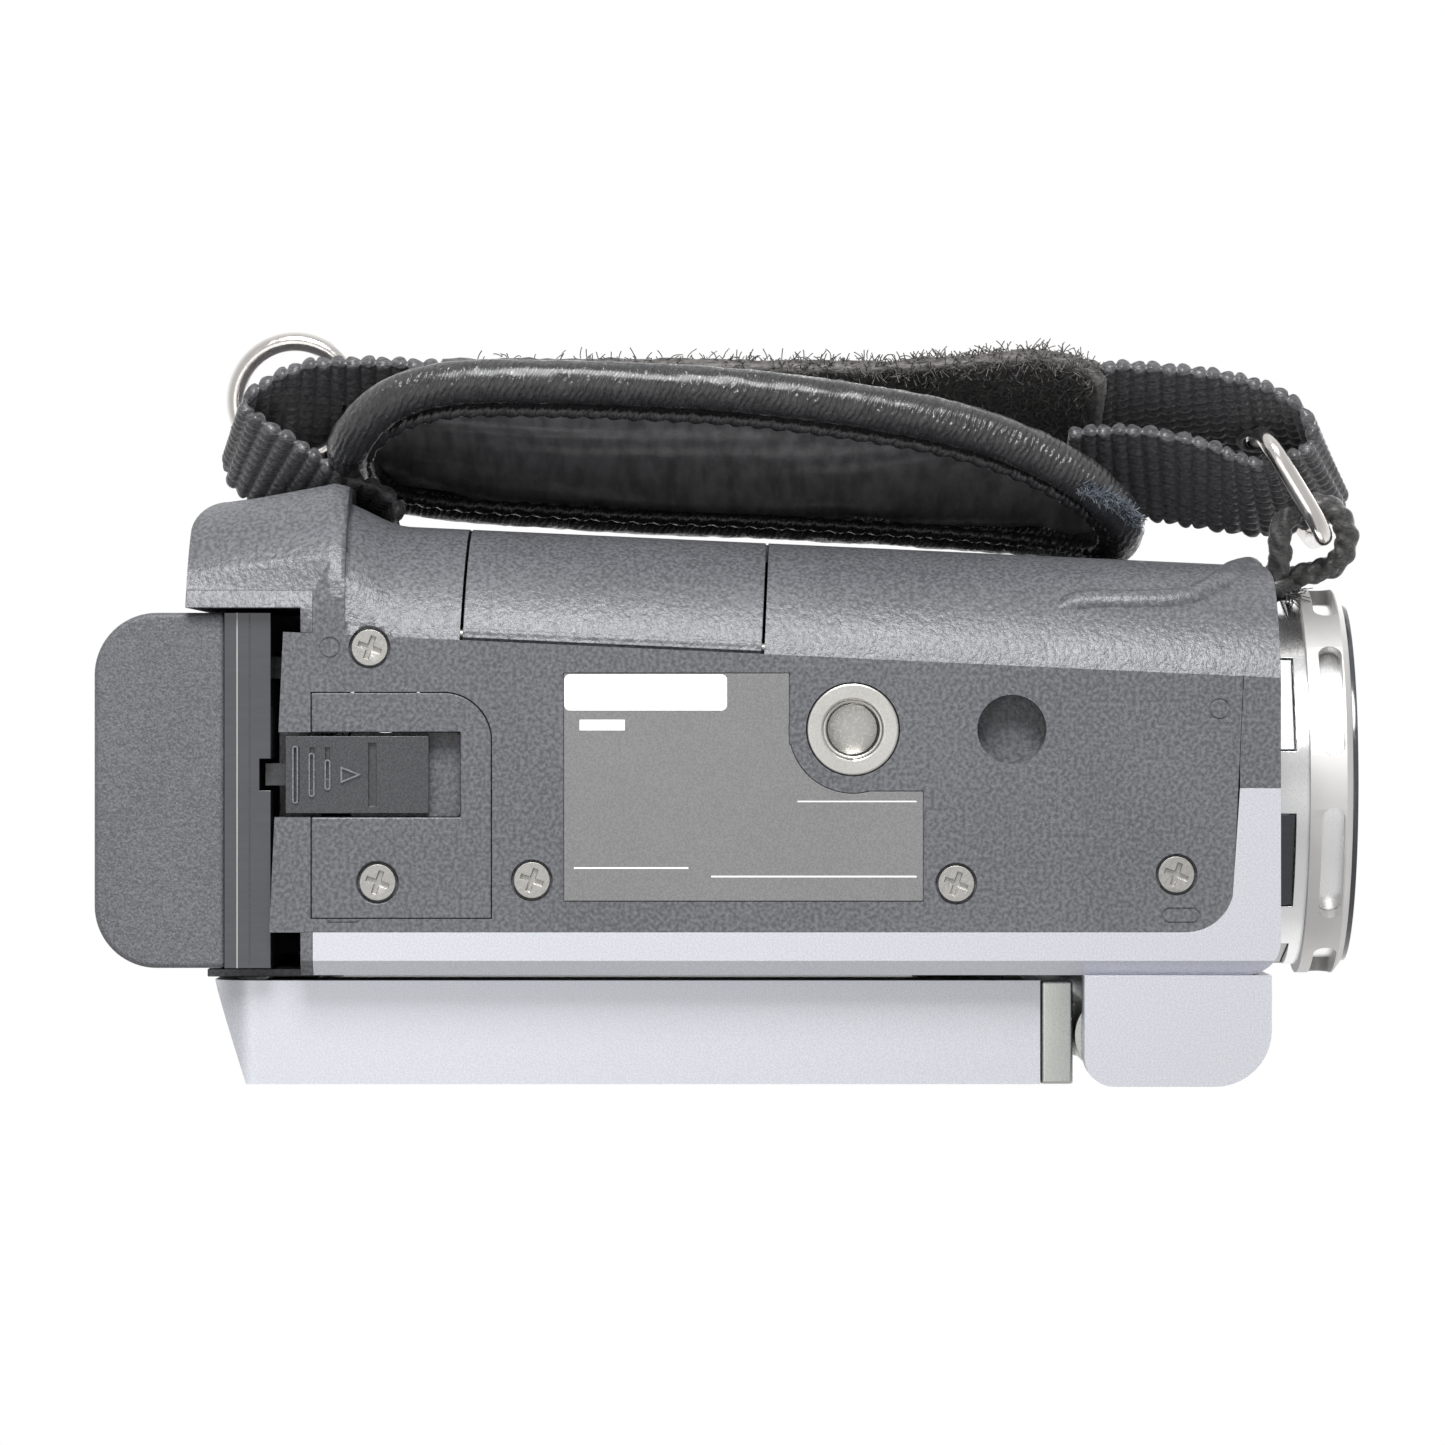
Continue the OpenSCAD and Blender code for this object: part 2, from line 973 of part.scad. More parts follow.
module status_lamps() {
    color([0.2, 0.6, 0.25])
        for (x = lamp_x)
            translate([x, hump_rear + 0.1, lamp_z])
                rotate([90, 0, 0]) {
                    cylinder(r = lamp_r, h = wall + 1);
                    translate([0, 0, wall + 0.5])
                        cylinder(r = lamp_r + 0.6, h = 0.6);
                }
}

module speaker() {
    color(black)
        translate([17.2, 23, 44])
            rotate([0, 90, 0])
                cylinder(r = 7, h = 2.8);
}

module microphones() {
    color(metal)
        for (x = mic_x)
            translate([x, -33, mic_z])
                rotate([90, 0, 0])
                    cylinder(r = 1.8, h = 3);
}

module memory_card() {
    color(black)
        block([16.3, 13.5, 30.6], [21.3, 34.5, 32.6]);
}

// Plan of the display panel, inset by t
module panel_plan(t) {
    slope = 3 / (lcd_out - lcd_in);
    polygon([
        [lcd_in + t, panel_front + t], [lcd_out - t, panel_front + t],
        [lcd_out - t, lcd_rear - 3 - t], [lcd_in + t, lcd_rear - t - slope * t]]);
}

// The panel as a solid, inset by t, with rounded corners as seen from the side
module panel_solid(t) {
    intersection() {
        translate([0, 0, lcd_z0 + t])
            linear_extrude(lcd_z1 - lcd_z0 - 2 * t)
                panel_plan(t);
        rotate([90, 0, 90])
            linear_extrude(60)
                rounded([-30, lcd_z0 + t], [lcd_rear - t, lcd_z1 - t], 4 - t);
    }
}

module lcd_outer_shell() {
    color(silver)
        difference() {
            panel_solid(0);
            for (x = [-1.5, 0])
                translate([x, 0, 0])
                    panel_solid(1.3);
            block([lcd_in - 1, -12, lcd_z0 + 1.3], [lcd_in + 1.6, 52, lcd_z1 - 1.3]);
            block([hinge_x - 2.4, -30, 18], [hinge_x + 2.4, -10, 41]);
        }
}

module lcd_inner_bezel() {
    color(dark)
        difference() {
            block([lcd_in, -11.9, lcd_z0 + 1.4], [lcd_in + 1.4, 51.9, lcd_z1 - 1.4]);
            block([lcd_in - 1, -6, 13], [lcd_in + 3, 48, 46]);
        }
}

module lcd_screen() {
    color(glassy)
        block([lcd_in + 0.3, -5.9, 13.1], [lcd_in + 1.2, 47.9, 45.9]);
}

module lcd_module() {
    color(metal)
        block([lcd_in + 1.6, -8, 10], [lcd_in + 4.6, 50, 49]);
}

module lcd_end_cap() {
    color([0.42, 0.45, 0.43])
        difference() {
            block([lcd_in, cap_front, lcd_z0], [lcd_out, panel_front - 0.1, lcd_z1]);
            block([hinge_x - 2.4, cap_front - 1, 18], [hinge_x + 2.4, cap_front + 9, 41]);
        }
}

module lcd_hinge_bracket() {
    color(metal)
        difference() {
            union() {
                translate([hinge_x, hinge_y, lcd_z0 + 0.1])
                    cylinder(r = knuckle_r - 0.3, h = lcd_z1 - lcd_z0 - 0.2);
                block([hinge_x - 2.3, hinge_y, 18.1], [hinge_x + 2.3, -12, 40.9]);
            }
            for (z = [lcd_z0 - 1, lcd_z1 - 2.1])
                translate([hinge_x, hinge_y, z])
                    cylinder(r = 1.25, h = 3.2);
        }
}

// Plan of the battery between two depths
module battery_plan(y0, t) {
    intersection() {
        rounded([battery_x0 + t, 30], [battery_x1 - t, battery_rear - t], 5.5 - t);
        translate([-40, y0])
            square([80, 40]);
    }
}

module battery_case() {
    color(dark)
        difference() {
            translate([0, 0, battery_z0])
                linear_extrude(battery_h)
                    battery_plan(battery_split, 0);
            translate([0, 0, battery_z0 + 1])
                linear_extrude(battery_h - 2)
                    battery_plan(battery_split - 1, 1);
        }
}

module battery_base() {
    color(black)
        difference() {
            block([battery_x0, battery_front, battery_z0],
                  [battery_x1, battery_split, battery_z0 + battery_h]);
            for (x = rail_x) {
                block([x - 1.4, 0, rail_z0 - 1], [x + 1.4, battery_front + 2.2, far]);
                block([x - 2.4, battery_front + 0.1, rail_z0 - 1],
                      [x + 2.4, battery_front + 2.2, far]);
            }
            block([lever_x0 + 2, 0, -1], [lever_x1 - 2, battery_front + 1, far]);
            block([8.6, 0, 11], [13.4, battery_front + 0.5, far]);
        }
}

module battery_cells() {
    color([0.35, 0.45, 0.6])
        for (z = [battery_z0 + 1.6, battery_z0 + 22.8])
            block([battery_x0 + 1.8, battery_split + 0.1, z],
                  [battery_x1 - 1.8, battery_rear - 4.6, z + 20.4]);
}

module battery_contacts() {
    color([0.75, 0.6, 0.3])
        for (z = [14:4:26])
            block([10.2, battery_front + 0.2, z], [11.8, battery_front + 0.5, z + 1.6]);
}

module zoom_lever() {
    color(silver)
        translate([zoom_c[0], zoom_c[1], body_h + gap]) {
            cylinder(r = 6, h = 1.6);
            rotate(-20)
                block([-9, -1.5, 0], [-4, 1.5, 3]);
            translate([0, 0, -1.4])
                cylinder(r = 1.5, h = 2);
        }
}

module photo_button() {
    color(metal)
        translate([photo_c[0], photo_c[1], body_h - 1.2])
            cylinder(r = 3.1, h = 2.2);
}

module start_stop_button() {
    color(metal)
        translate([start_c[0], hump_rear + 0.3, start_c[1]])
            rotate([90, 0, 0])
                cylinder(r = start_r, h = 2.4);
}

module lens_cover_switch() {
    color(metal) {
        block([lcd_out - 1.2, block_front + 3.9, 22], [lcd_out + 0.6, block_front + 6.3, 30]);
        block([lcd_out - 2.6, block_front + 3.9, 24.5],
              [lcd_out - 1.2, block_front + 6.3, 27.5]);
    }
}

// Round button in the wall behind the display
module bay_button(z) {
    color(metal)
        translate([19.6, 0, z])
            rotate([0, 90, 0])
                cylinder(r = 1.9, h = 2.3);
}

module power_button() {
    bay_button(bay_buttons[0]);
}

module view_button() {
    bay_button(bay_buttons[1]);
}

module pad_edge(s) {
    translate([s[1], s[0], pad_z0])
        sphere(r = pad_r, $fn = 20);
    translate([s[2], s[0], pad_z1])
        sphere(r = pad_r, $fn = 20);
}

module strap_pad() {
    color(black)
        for (i = [0:len(pad_stations) - 2])
            hull() {
                pad_edge(pad_stations[i]);
                pad_edge(pad_stations[i + 1]);
            }
}

// Flat webbing laid along points in plan
module band(points, z0, z1) {
    translate([0, 0, z0])
        linear_extrude(z1 - z0)
            for (i = [0:len(points) - 2]) {
                step = points[i + 1] - points[i];
                translate(points[i])
                    rotate(atan2(step[1], step[0]))
                        translate([0, -web_t])
                            square([norm(step), 2 * web_t]);
                translate(points[i])
                    circle(web_t + 0.04);
            }
}

module strap_rear_webbing() {
    color(black)
        difference() {
            band([[-16.4, 43.2], [-21.9, 44.9], [-22.8, 54.5], [-26, 57.4],
                  [-28.6, 54.6], [-28.2, 47.8], [-26.4, 45.3]], web_z0, web_z1);
            for (p = [[-27.7, 55.6], [-27.2, 46.4]])
                translate([p[0], p[1], ring_c[2]])
                    cube([4, 4, 3.4], center = true);
        }
}

module rear_ring() {
    color(metal)
        translate(ring_c)
            rotate_extrude()
                translate([ring_major, 0])
                    circle(ring_wire, $fn = 32);
}

module strap_front_webbing() {
    color(black)
        band([[-31.9, 14], [-33, -20], [-31.6, -36], [-29.4, -42.8], [-26.9, -44.4],
              [-24.9, -42.4], [-24.3, -36], [-22.2, -27.4]], web_z0, web_z1);
}

module strap_hook_strip() {
    color(black)
        band([[-33.0, 32], [-33.7, 2], [-34.4, -21]], web_z0, web_z1);
}

// Wire link, a rounded rectangle standing on edge, its rear side on the pivot
module front_link() {
    color(metal)
        translate(link_pivot)
            rotate(link_turn)
                translate([link_w / 2, 0, 0]) {
                    for (s = [-1, 1]) {
                        translate([s * link_w / 2, 0, link_r - link_h / 2])
                            cylinder(r = link_wire, h = link_h - 2 * link_r, $fn = 32);
                        translate([link_r - link_w / 2, 0, s * link_h / 2])
                            rotate([0, 90, 0])
                                cylinder(r = link_wire, h = link_w - 2 * link_r, $fn = 32);
                    }
                    for (q = [0:3])
                        link_corner(q);
                }
}

// One quarter bend of the link; q counts the corners anticlockwise
module link_corner(q) {
    sx = q == 0 || q == 3 ? 1 : -1;
    sz = q < 2 ? 1 : -1;
    translate([sx * (link_w / 2 - link_r), 0, sz * (link_h / 2 - link_r)])
        rotate([90, 0, 0])
            rotate_extrude(angle = 90, start = 90 * q)
                translate([link_r, 0])
                    circle(link_wire, $fn = 32);
}

module cord_loop() {
    color(black)
        translate(cord_c)
            rotate_extrude()
                translate([cord_major, 0])
                    circle(cord_r, $fn = 32);
}

module strap_anchor_bar() {
    color(metal)
        translate([-14.2, 43.2, 17.8])
            cylinder(r = 1, h = 20);
}

base_cover();
base_corner_plate();
grip_shell();
display_side_shell();
top_cover();
front_bezel();
rear_panel();
chassis_frame();
main_board();
tripod_socket();
base_screws();
rating_label();
jack_hinge_pin();
jack_sockets();
lens_tube();
lens_collar();
collar_windows();
lens_ring();
ring_liner();
front_rim();
front_element();
guide_rods();
sensor_board();
image_sensor();
terminal_block();
hinge_pins();
status_lamps();
speaker();
microphones();
memory_card();
strap_pad();
strap_rear_webbing();
strap_front_webbing();
strap_hook_strip();
strap_anchor_bar();
cord_loop();
lcd_outer_shell();
lcd_inner_bezel();
lcd_screen();
lcd_module();
lcd_end_cap();
lcd_hinge_bracket();
battery_case();
battery_base();
battery_cells();
battery_contacts();
release_lever();
jack_cover();
zoom_lever();
photo_button();
start_stop_button();
lens_cover_switch();
upper_blade();
lower_blade();
power_button();
view_button();
rear_ring();
front_link();
zoom_lens();
focus_lens();
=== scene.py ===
"""Looks for a palm-sized camcorder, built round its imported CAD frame."""
import json
import math
import random

import bmesh
import bpy
from mathutils import Matrix, Vector, kdtree, noise
from mathutils.bvhtree import BVHTree

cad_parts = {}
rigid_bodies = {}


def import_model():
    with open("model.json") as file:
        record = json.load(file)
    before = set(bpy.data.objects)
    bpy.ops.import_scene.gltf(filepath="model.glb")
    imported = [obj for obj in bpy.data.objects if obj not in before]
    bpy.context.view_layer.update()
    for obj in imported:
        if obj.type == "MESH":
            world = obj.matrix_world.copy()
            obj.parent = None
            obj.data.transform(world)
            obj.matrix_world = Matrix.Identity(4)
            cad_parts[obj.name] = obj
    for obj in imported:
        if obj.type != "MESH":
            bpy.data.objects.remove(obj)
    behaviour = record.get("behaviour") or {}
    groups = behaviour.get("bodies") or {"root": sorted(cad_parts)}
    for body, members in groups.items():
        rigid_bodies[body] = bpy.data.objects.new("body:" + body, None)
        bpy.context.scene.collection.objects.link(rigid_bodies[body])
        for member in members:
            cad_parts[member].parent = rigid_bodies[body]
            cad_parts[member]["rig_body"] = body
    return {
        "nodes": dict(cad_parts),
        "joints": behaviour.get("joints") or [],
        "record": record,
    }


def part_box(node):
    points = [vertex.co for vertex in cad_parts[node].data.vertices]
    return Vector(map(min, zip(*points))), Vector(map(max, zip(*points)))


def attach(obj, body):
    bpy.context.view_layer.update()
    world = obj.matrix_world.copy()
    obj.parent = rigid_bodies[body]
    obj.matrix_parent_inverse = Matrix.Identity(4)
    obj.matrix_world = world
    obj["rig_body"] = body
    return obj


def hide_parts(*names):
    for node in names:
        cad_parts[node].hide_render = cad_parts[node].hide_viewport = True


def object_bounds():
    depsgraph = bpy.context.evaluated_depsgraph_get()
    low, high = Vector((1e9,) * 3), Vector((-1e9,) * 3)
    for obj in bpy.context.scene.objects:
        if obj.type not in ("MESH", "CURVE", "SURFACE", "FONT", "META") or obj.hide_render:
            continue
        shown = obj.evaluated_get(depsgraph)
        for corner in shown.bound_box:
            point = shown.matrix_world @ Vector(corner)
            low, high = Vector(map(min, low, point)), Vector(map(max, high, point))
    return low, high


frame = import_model()
cad_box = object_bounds()
nodes = frame["nodes"]
joints = {joint["name"]: joint for joint in frame["joints"]}
mounts = {mount["name"]: mount for mount in frame["record"]["mounts"]}
MM = 0.001


def box_mm(node):
    """Lowest and highest corner of a CAD node, in millimetres to the third place."""
    return [[round(c / MM, 3) for c in corner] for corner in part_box(node)]


def pivot_mm(joint):
    """The point that a joint turns about, in millimetres."""
    return Vector([c / MM for c in joints[joint]["pos_m"]])


def linked(name, data):
    """A new object with this data, in the scene."""
    obj = bpy.data.objects.new(name, data)
    bpy.context.scene.collection.objects.link(obj)
    return obj


# ---------------------------------------------------------------- camera, floor and lights

CAMERA_DISTANCE = 600 * MM
CAMERA_X = -0.6 * MM
CAMERA_Y = 11.5 * MM
VIEW_WIDTH = 127.3 * MM
SENSOR = 36.0
NEAR_CLIP = 10 * MM


def make_camera():
    """Looks straight up at the base, with the lens to the right and the display side down."""
    data = bpy.data.cameras.new("camera")
    data.sensor_width = SENSOR
    data.lens = SENSOR * CAMERA_DISTANCE / VIEW_WIDTH
    data.clip_start = NEAR_CLIP
    cam = linked("camera", data)
    right, up, back = Vector((0, -1, 0)), Vector((-1, 0, 0)), Vector((0, 0, -1))
    cam.matrix_world = Matrix.Translation((CAMERA_X, CAMERA_Y, -CAMERA_DISTANCE)) @ Matrix(
        (right, up, back)).transposed().to_4x4()
    bpy.context.scene.camera = cam


def area_light(name, place, target, size, power):
    """A round lamp of size metres across that looks at the target."""
    data = bpy.data.lights.new(name, "AREA")
    data.shape = "DISK"
    data.size = size
    data.energy = power
    light = linked(name, data)
    light.location = place
    light.rotation_euler = (Vector(target) - Vector(place)).to_track_quat("-Z", "Y").to_euler()


def make_world(up, level, down):
    """Even white light: brightest overhead, softer round the horizon."""
    world = bpy.data.worlds.new("studio")
    bpy.context.scene.world = world
    world.use_nodes = True
    tree = world.node_tree
    coord = tree.nodes.new("ShaderNodeTexCoord")
    split = tree.nodes.new("ShaderNodeSeparateXYZ")
    ramp = tree.nodes.new("ShaderNodeValToRGB")
    shift = tree.nodes.new("ShaderNodeMapRange")
    shift.inputs["From Min"].default_value = -1.0
    tree.links.new(coord.outputs["Generated"], split.inputs["Vector"])
    tree.links.new(split.outputs["Z"], shift.inputs["Value"])
    tree.links.new(shift.outputs["Result"], ramp.inputs["Fac"])
    tree.links.new(ramp.outputs["Color"], tree.nodes["Background"].inputs["Color"])
    stops = [(0.0, down), (0.25, down), (0.5, level), (0.75, up)]
    points = ramp.color_ramp.elements
    for place, _ in stops[2:]:
        points.new(place)
    for point, (place, value) in zip(points, stops):
        point.position = place
        point.color = (value, value, value, 1)


FLOOR_HALF = 1.5
FLOOR_TONE = (0.86, 0.86, 0.86, 1)


def make_floor():
    """A pale floor that shows from above only, so the view from below has nothing in its way."""
    half, low = FLOOR_HALF, cad_box[0].z - 0.05 * MM
    mesh = bpy.data.meshes.new("floor")
    corners = [(-half, -half, low), (half, -half, low), (half, half, low), (-half, half, low)]
    mesh.from_pydata(corners, [], [(0, 1, 2, 3)])
    floor = linked("floor", mesh)
    material = bpy.data.materials.new("floor")
    material.use_nodes = True
    tree = material.node_tree
    shader = tree.nodes["Principled BSDF"]
    shader.inputs["Base Color"].default_value = FLOOR_TONE
    shader.inputs["Roughness"].default_value = 0.7
    clear = tree.nodes.new("ShaderNodeBsdfTransparent")
    side = tree.nodes.new("ShaderNodeNewGeometry")
    mix = tree.nodes.new("ShaderNodeMixShader")
    tree.links.new(side.outputs["Backfacing"], mix.inputs["Fac"])
    tree.links.new(shader.outputs["BSDF"], mix.inputs[1])
    tree.links.new(clear.outputs["BSDF"], mix.inputs[2])
    tree.links.new(mix.outputs["Shader"], tree.nodes["Material Output"].inputs["Surface"])
    mesh.materials.append(material)
    floor.visible_shadow = False
    floor.visible_diffuse = False
    floor.visible_glossy = False
    floor.visible_transmission = False


make_camera()
make_world(up=1.0, level=0.7, down=0.58)
make_floor()
LOW_TARGET = (0, 0.01, 0.02)
area_light("key", (-0.5, 0.02, -0.46), LOW_TARGET, size=0.34, power=6.2)
area_light("fill", (0.1, 0.2, -0.6), LOW_TARGET, size=0.5, power=0.5)
area_light("top", (-0.2, -0.3, 0.6), (0, 0, 0.03), size=0.5, power=1.0)
bpy.context.scene.view_settings.view_transform = "Standard"


# ---------------------------------------------------------------- materials

class Nodes:
    """Short names for adding nodes to a material."""

    def __init__(self, name):
        self.material = bpy.data.materials.new(name)
        self.material.use_nodes = True
        self.tree = self.material.node_tree
        self.shader = self.tree.nodes["Principled BSDF"]
        self.coord = self.tree.nodes.new("ShaderNodeTexCoord").outputs["Object"]

    def add(self, kind, links=None, **values):
        node = self.tree.nodes.new("ShaderNode" + kind)
        for key, value in values.items():
            setattr(node, key, value)
        for socket, source in (links or {}).items():
            if isinstance(source, bpy.types.NodeSocket):
                self.tree.links.new(source, node.inputs[socket])
            else:
                node.inputs[socket].default_value = source
        return node

    def set(self, **values):
        for key, value in values.items():
            self.shader.inputs[key.replace("_", " ")].default_value = value

    def noise(self, size, detail=2.0, rough=0.5, vector=None):
        """Noise with features about size metres across."""
        return self.add("TexNoise", {
            "Vector": vector or self.coord, "Scale": 1 / size, "Detail": detail,
            "Roughness": rough}).outputs["Fac"]

    def ramp(self, value, low, high, lo_out=0.0, hi_out=1.0):
        return self.add("MapRange", {
            "Value": value, "From Min": low, "From Max": high, "To Min": lo_out,
            "To Max": hi_out}).outputs["Result"]

    def math(self, operation, a, b=0.0):
        return self.add("Math", {0: a, 1: b}, operation=operation).outputs[0]

    def mix(self, factor, a, b):
        node = self.add("Mix", {"Factor": factor}, data_type="RGBA")
        for socket, colour in ((6, a), (7, b)):
            if isinstance(colour, bpy.types.NodeSocket):
                self.tree.links.new(colour, node.inputs[socket])
            else:
                node.inputs[socket].default_value = (*colour, 1)
        return node.outputs[2]

    def bump(self, height, distance, strength=1.0, after=None):
        links = {"Height": height, "Distance": distance, "Strength": strength}
        if after:
            links["Normal"] = after
        return self.add("Bump", links).outputs["Normal"]

    def colour(self, source):
        self.tree.links.new(source, self.shader.inputs["Base Color"])

    def roughness(self, source):
        self.tree.links.new(source, self.shader.inputs["Roughness"])

    def normal(self, source):
        self.tree.links.new(source, self.shader.inputs["Normal"])


def shade(colour, factor):
    """The colour made lighter or darker."""
    return tuple(c * factor for c in colour)


def moulded_plastic(name, colour, rough, grain=0.62 * MM, depth=0.11 * MM, mottle=0.3):
    """Spark-eroded plastic: fine pitted grain, slight blotches and rubbed shine."""
    n = Nodes(name)
    fine = n.noise(grain, 3, 0.65)
    speck = n.noise(grain * 0.55, 1)
    broad = n.noise(14 * MM, 3)
    tone = n.math("ADD", n.math("MULTIPLY", broad, 0.15), n.math("MULTIPLY", speck, 0.85))
    n.colour(n.mix(n.ramp(tone, 0.38, 0.62), shade(colour, 1 - mottle),
                   shade(colour, 1 + mottle)))
    n.roughness(n.ramp(n.math("ADD", n.math("MULTIPLY", broad, 0.5), n.math("MULTIPLY", fine, 0.5)),
                       0.3, 0.7, rough - 0.07, rough + 0.07))
    n.normal(n.bump(fine, depth, 1.0))
    return n.material


def silver_paint(name, colour, rough=0.36, metallic=0.65):
    """Metallic paint on plastic: tiny flakes under a satin coat."""
    n = Nodes(name)
    flake = n.noise(0.14 * MM, 1)
    broad = n.noise(25 * MM, 2)
    base = n.mix(n.ramp(flake, 0.35, 0.65), shade(colour, 0.9), shade(colour, 1.08))
    n.colour(n.mix(n.ramp(broad, 0.3, 0.7, 0.0, 0.12), base, shade(colour, 0.85)))
    n.roughness(n.ramp(flake, 0.3, 0.7, rough - 0.05, rough + 0.07))
    n.normal(n.bump(flake, 0.004 * MM, 0.6))
    n.set(Metallic=metallic, Coat_Weight=0.15, Coat_Roughness=0.35)
    return n.material


# Stretch of the grain on metal that is turned or brushed about an axis
TURNED = {"y": (0.15, 6.0, 0.15), "z": (0.3, 0.3, 4.0)}


def machined_metal(name, colour, rough, axis=None, grain=0.08 * MM, depth=0.006 * MM):
    """Bare metal with fine blasted or turned grain."""
    n = Nodes(name)
    vector = n.coord
    if axis:
        vector = n.add("Mapping", {"Vector": n.coord, "Scale": TURNED[axis]}).outputs[0]
    grain_map = n.noise(grain, 3, 0.6, vector)
    broad = n.noise(8 * MM, 2)
    n.colour(n.mix(n.ramp(broad, 0.3, 0.7), shade(colour, 0.9), shade(colour, 1.05)))
    n.roughness(n.ramp(grain_map, 0.3, 0.7, rough - 0.07, rough + 0.1))
    n.normal(n.bump(grain_map, depth, 0.7))
    n.set(Metallic=1.0)
    return n.material


def gloss(name, colour, rough=0.12, coat=0.5):
    """Polished plastic with faint hairlines."""
    n = Nodes(name)
    scratch = n.noise(0.6 * MM, 5, 0.7, n.add(
        "Mapping", {"Vector": n.coord, "Scale": (1.0, 0.12, 1.0)}).outputs[0])
    n.colour(n.mix(n.ramp(scratch, 0.4, 0.7), colour, shade(colour, 1.3)))
    n.roughness(n.ramp(scratch, 0.35, 0.75, rough, rough + 0.12))
    n.normal(n.bump(scratch, 0.002 * MM, 0.3))
    n.set(Coat_Weight=coat, Coat_Roughness=0.08)
    return n.material


def optical_glass(name, colour):
    """Coated lens glass with a faint smear."""
    n = Nodes(name)
    smear = n.noise(5 * MM, 3)
    n.roughness(n.ramp(smear, 0.35, 0.7, 0.01, 0.06))
    n.colour(n.mix(n.ramp(smear, 0.3, 0.7), colour, shade(colour, 0.92)))
    n.set(Transmission_Weight=0.9, IOR=1.5, Coat_Weight=0.6, Coat_Roughness=0.02,
          Coat_Tint=(0.75, 0.7, 1.0, 1))
    return n.material


CRINKLE_PITCH = 0.55 * MM


def leather(name, colour, rough, wrinkle=1.3 * MM, depth=0.34 * MM, crinkle=0.0):
    """Black leather: pebbled cells, stretched creases, fine cross wrinkles, a worn sheen."""
    n = Nodes(name)
    cells = n.add("TexVoronoi", {"Vector": n.coord, "Scale": 1 / (0.75 * MM)},
                  feature="DISTANCE_TO_EDGE").outputs["Distance"]
    pebble = n.ramp(cells, 0.0, 0.22)
    crease = n.noise(wrinkle, 2, 0.55, n.add(
        "Mapping", {"Vector": n.coord, "Rotation": (0, 0, 0.35),
                    "Scale": (0.4, 1.9, 0.4)}).outputs[0])
    pore = n.noise(0.22 * MM, 2)
    n.colour(n.mix(n.ramp(crease, 0.35, 0.7), shade(colour, 0.75), shade(colour, 1.5)))
    n.roughness(n.ramp(n.math("ADD", n.math("MULTIPLY", crease, 0.6),
                              n.math("MULTIPLY", pore, 0.4)), 0.35, 0.65, rough + 0.1, rough - 0.08))
    first = n.bump(crease, depth, 0.8)
    if crinkle:
        bands = n.add("TexWave", {
            "Vector": n.add("Mapping", {"Vector": n.coord, "Rotation": (0, 0, -0.5)}).outputs[0],
            "Scale": 2 * math.pi / (20 * CRINKLE_PITCH), "Distortion": 5.0, "Detail": 2.0,
            "Detail Scale": 1.2}, wave_type="BANDS", bands_direction="Y").outputs["Fac"]
        first = n.bump(bands, crinkle, 1.0, first)
    n.normal(n.bump(pore, 0.02 * MM, 0.5, n.bump(pebble, 0.03 * MM, 0.6, first)))
    n.set(Coat_Weight=0.5, Coat_Roughness=0.25)
    return n.material


def nylon(name, colour, rough=0.42, twist=0.16 * MM):
    """Filament yarn: fine parallel strands with a soft glint and a little lint."""
    n = Nodes(name)
    strand = n.noise(twist, 2, 0.5, n.add(
        "Mapping", {"Vector": n.coord, "Scale": (1.0, 0.35, 1.0)}).outputs[0])
    lint = n.noise(0.9 * MM, 3, 0.7)
    base = n.mix(n.ramp(strand, 0.35, 0.7), shade(colour, 0.5), shade(colour, 1.7))
    n.colour(n.mix(n.ramp(lint, 0.62, 0.75, 0.0, 0.35), base, shade(colour, 3.2)))
    n.roughness(n.ramp(strand, 0.3, 0.7, rough + 0.1, rough - 0.1))
    n.normal(n.bump(strand, 0.06 * MM, 0.9))
    n.set(Sheen_Weight=0.25, Sheen_Roughness=0.4)
    return n.material


def printed(name, colour):
    """Screen-printed ink on a film: almost flat, a little uneven in tone."""
    n = Nodes(name)
    film = n.noise(3 * MM, 3)
    dot = n.noise(0.15 * MM, 1)
    n.colour(n.mix(n.ramp(film, 0.3, 0.7), shade(colour, 0.93), colour))
    n.roughness(n.ramp(dot, 0.3, 0.7, 0.38, 0.5))
    n.normal(n.bump(dot, 0.003 * MM, 0.4))
    return n.material


DARK = (0.100, 0.102, 0.112)
SILVER = (0.60, 0.61, 0.655)

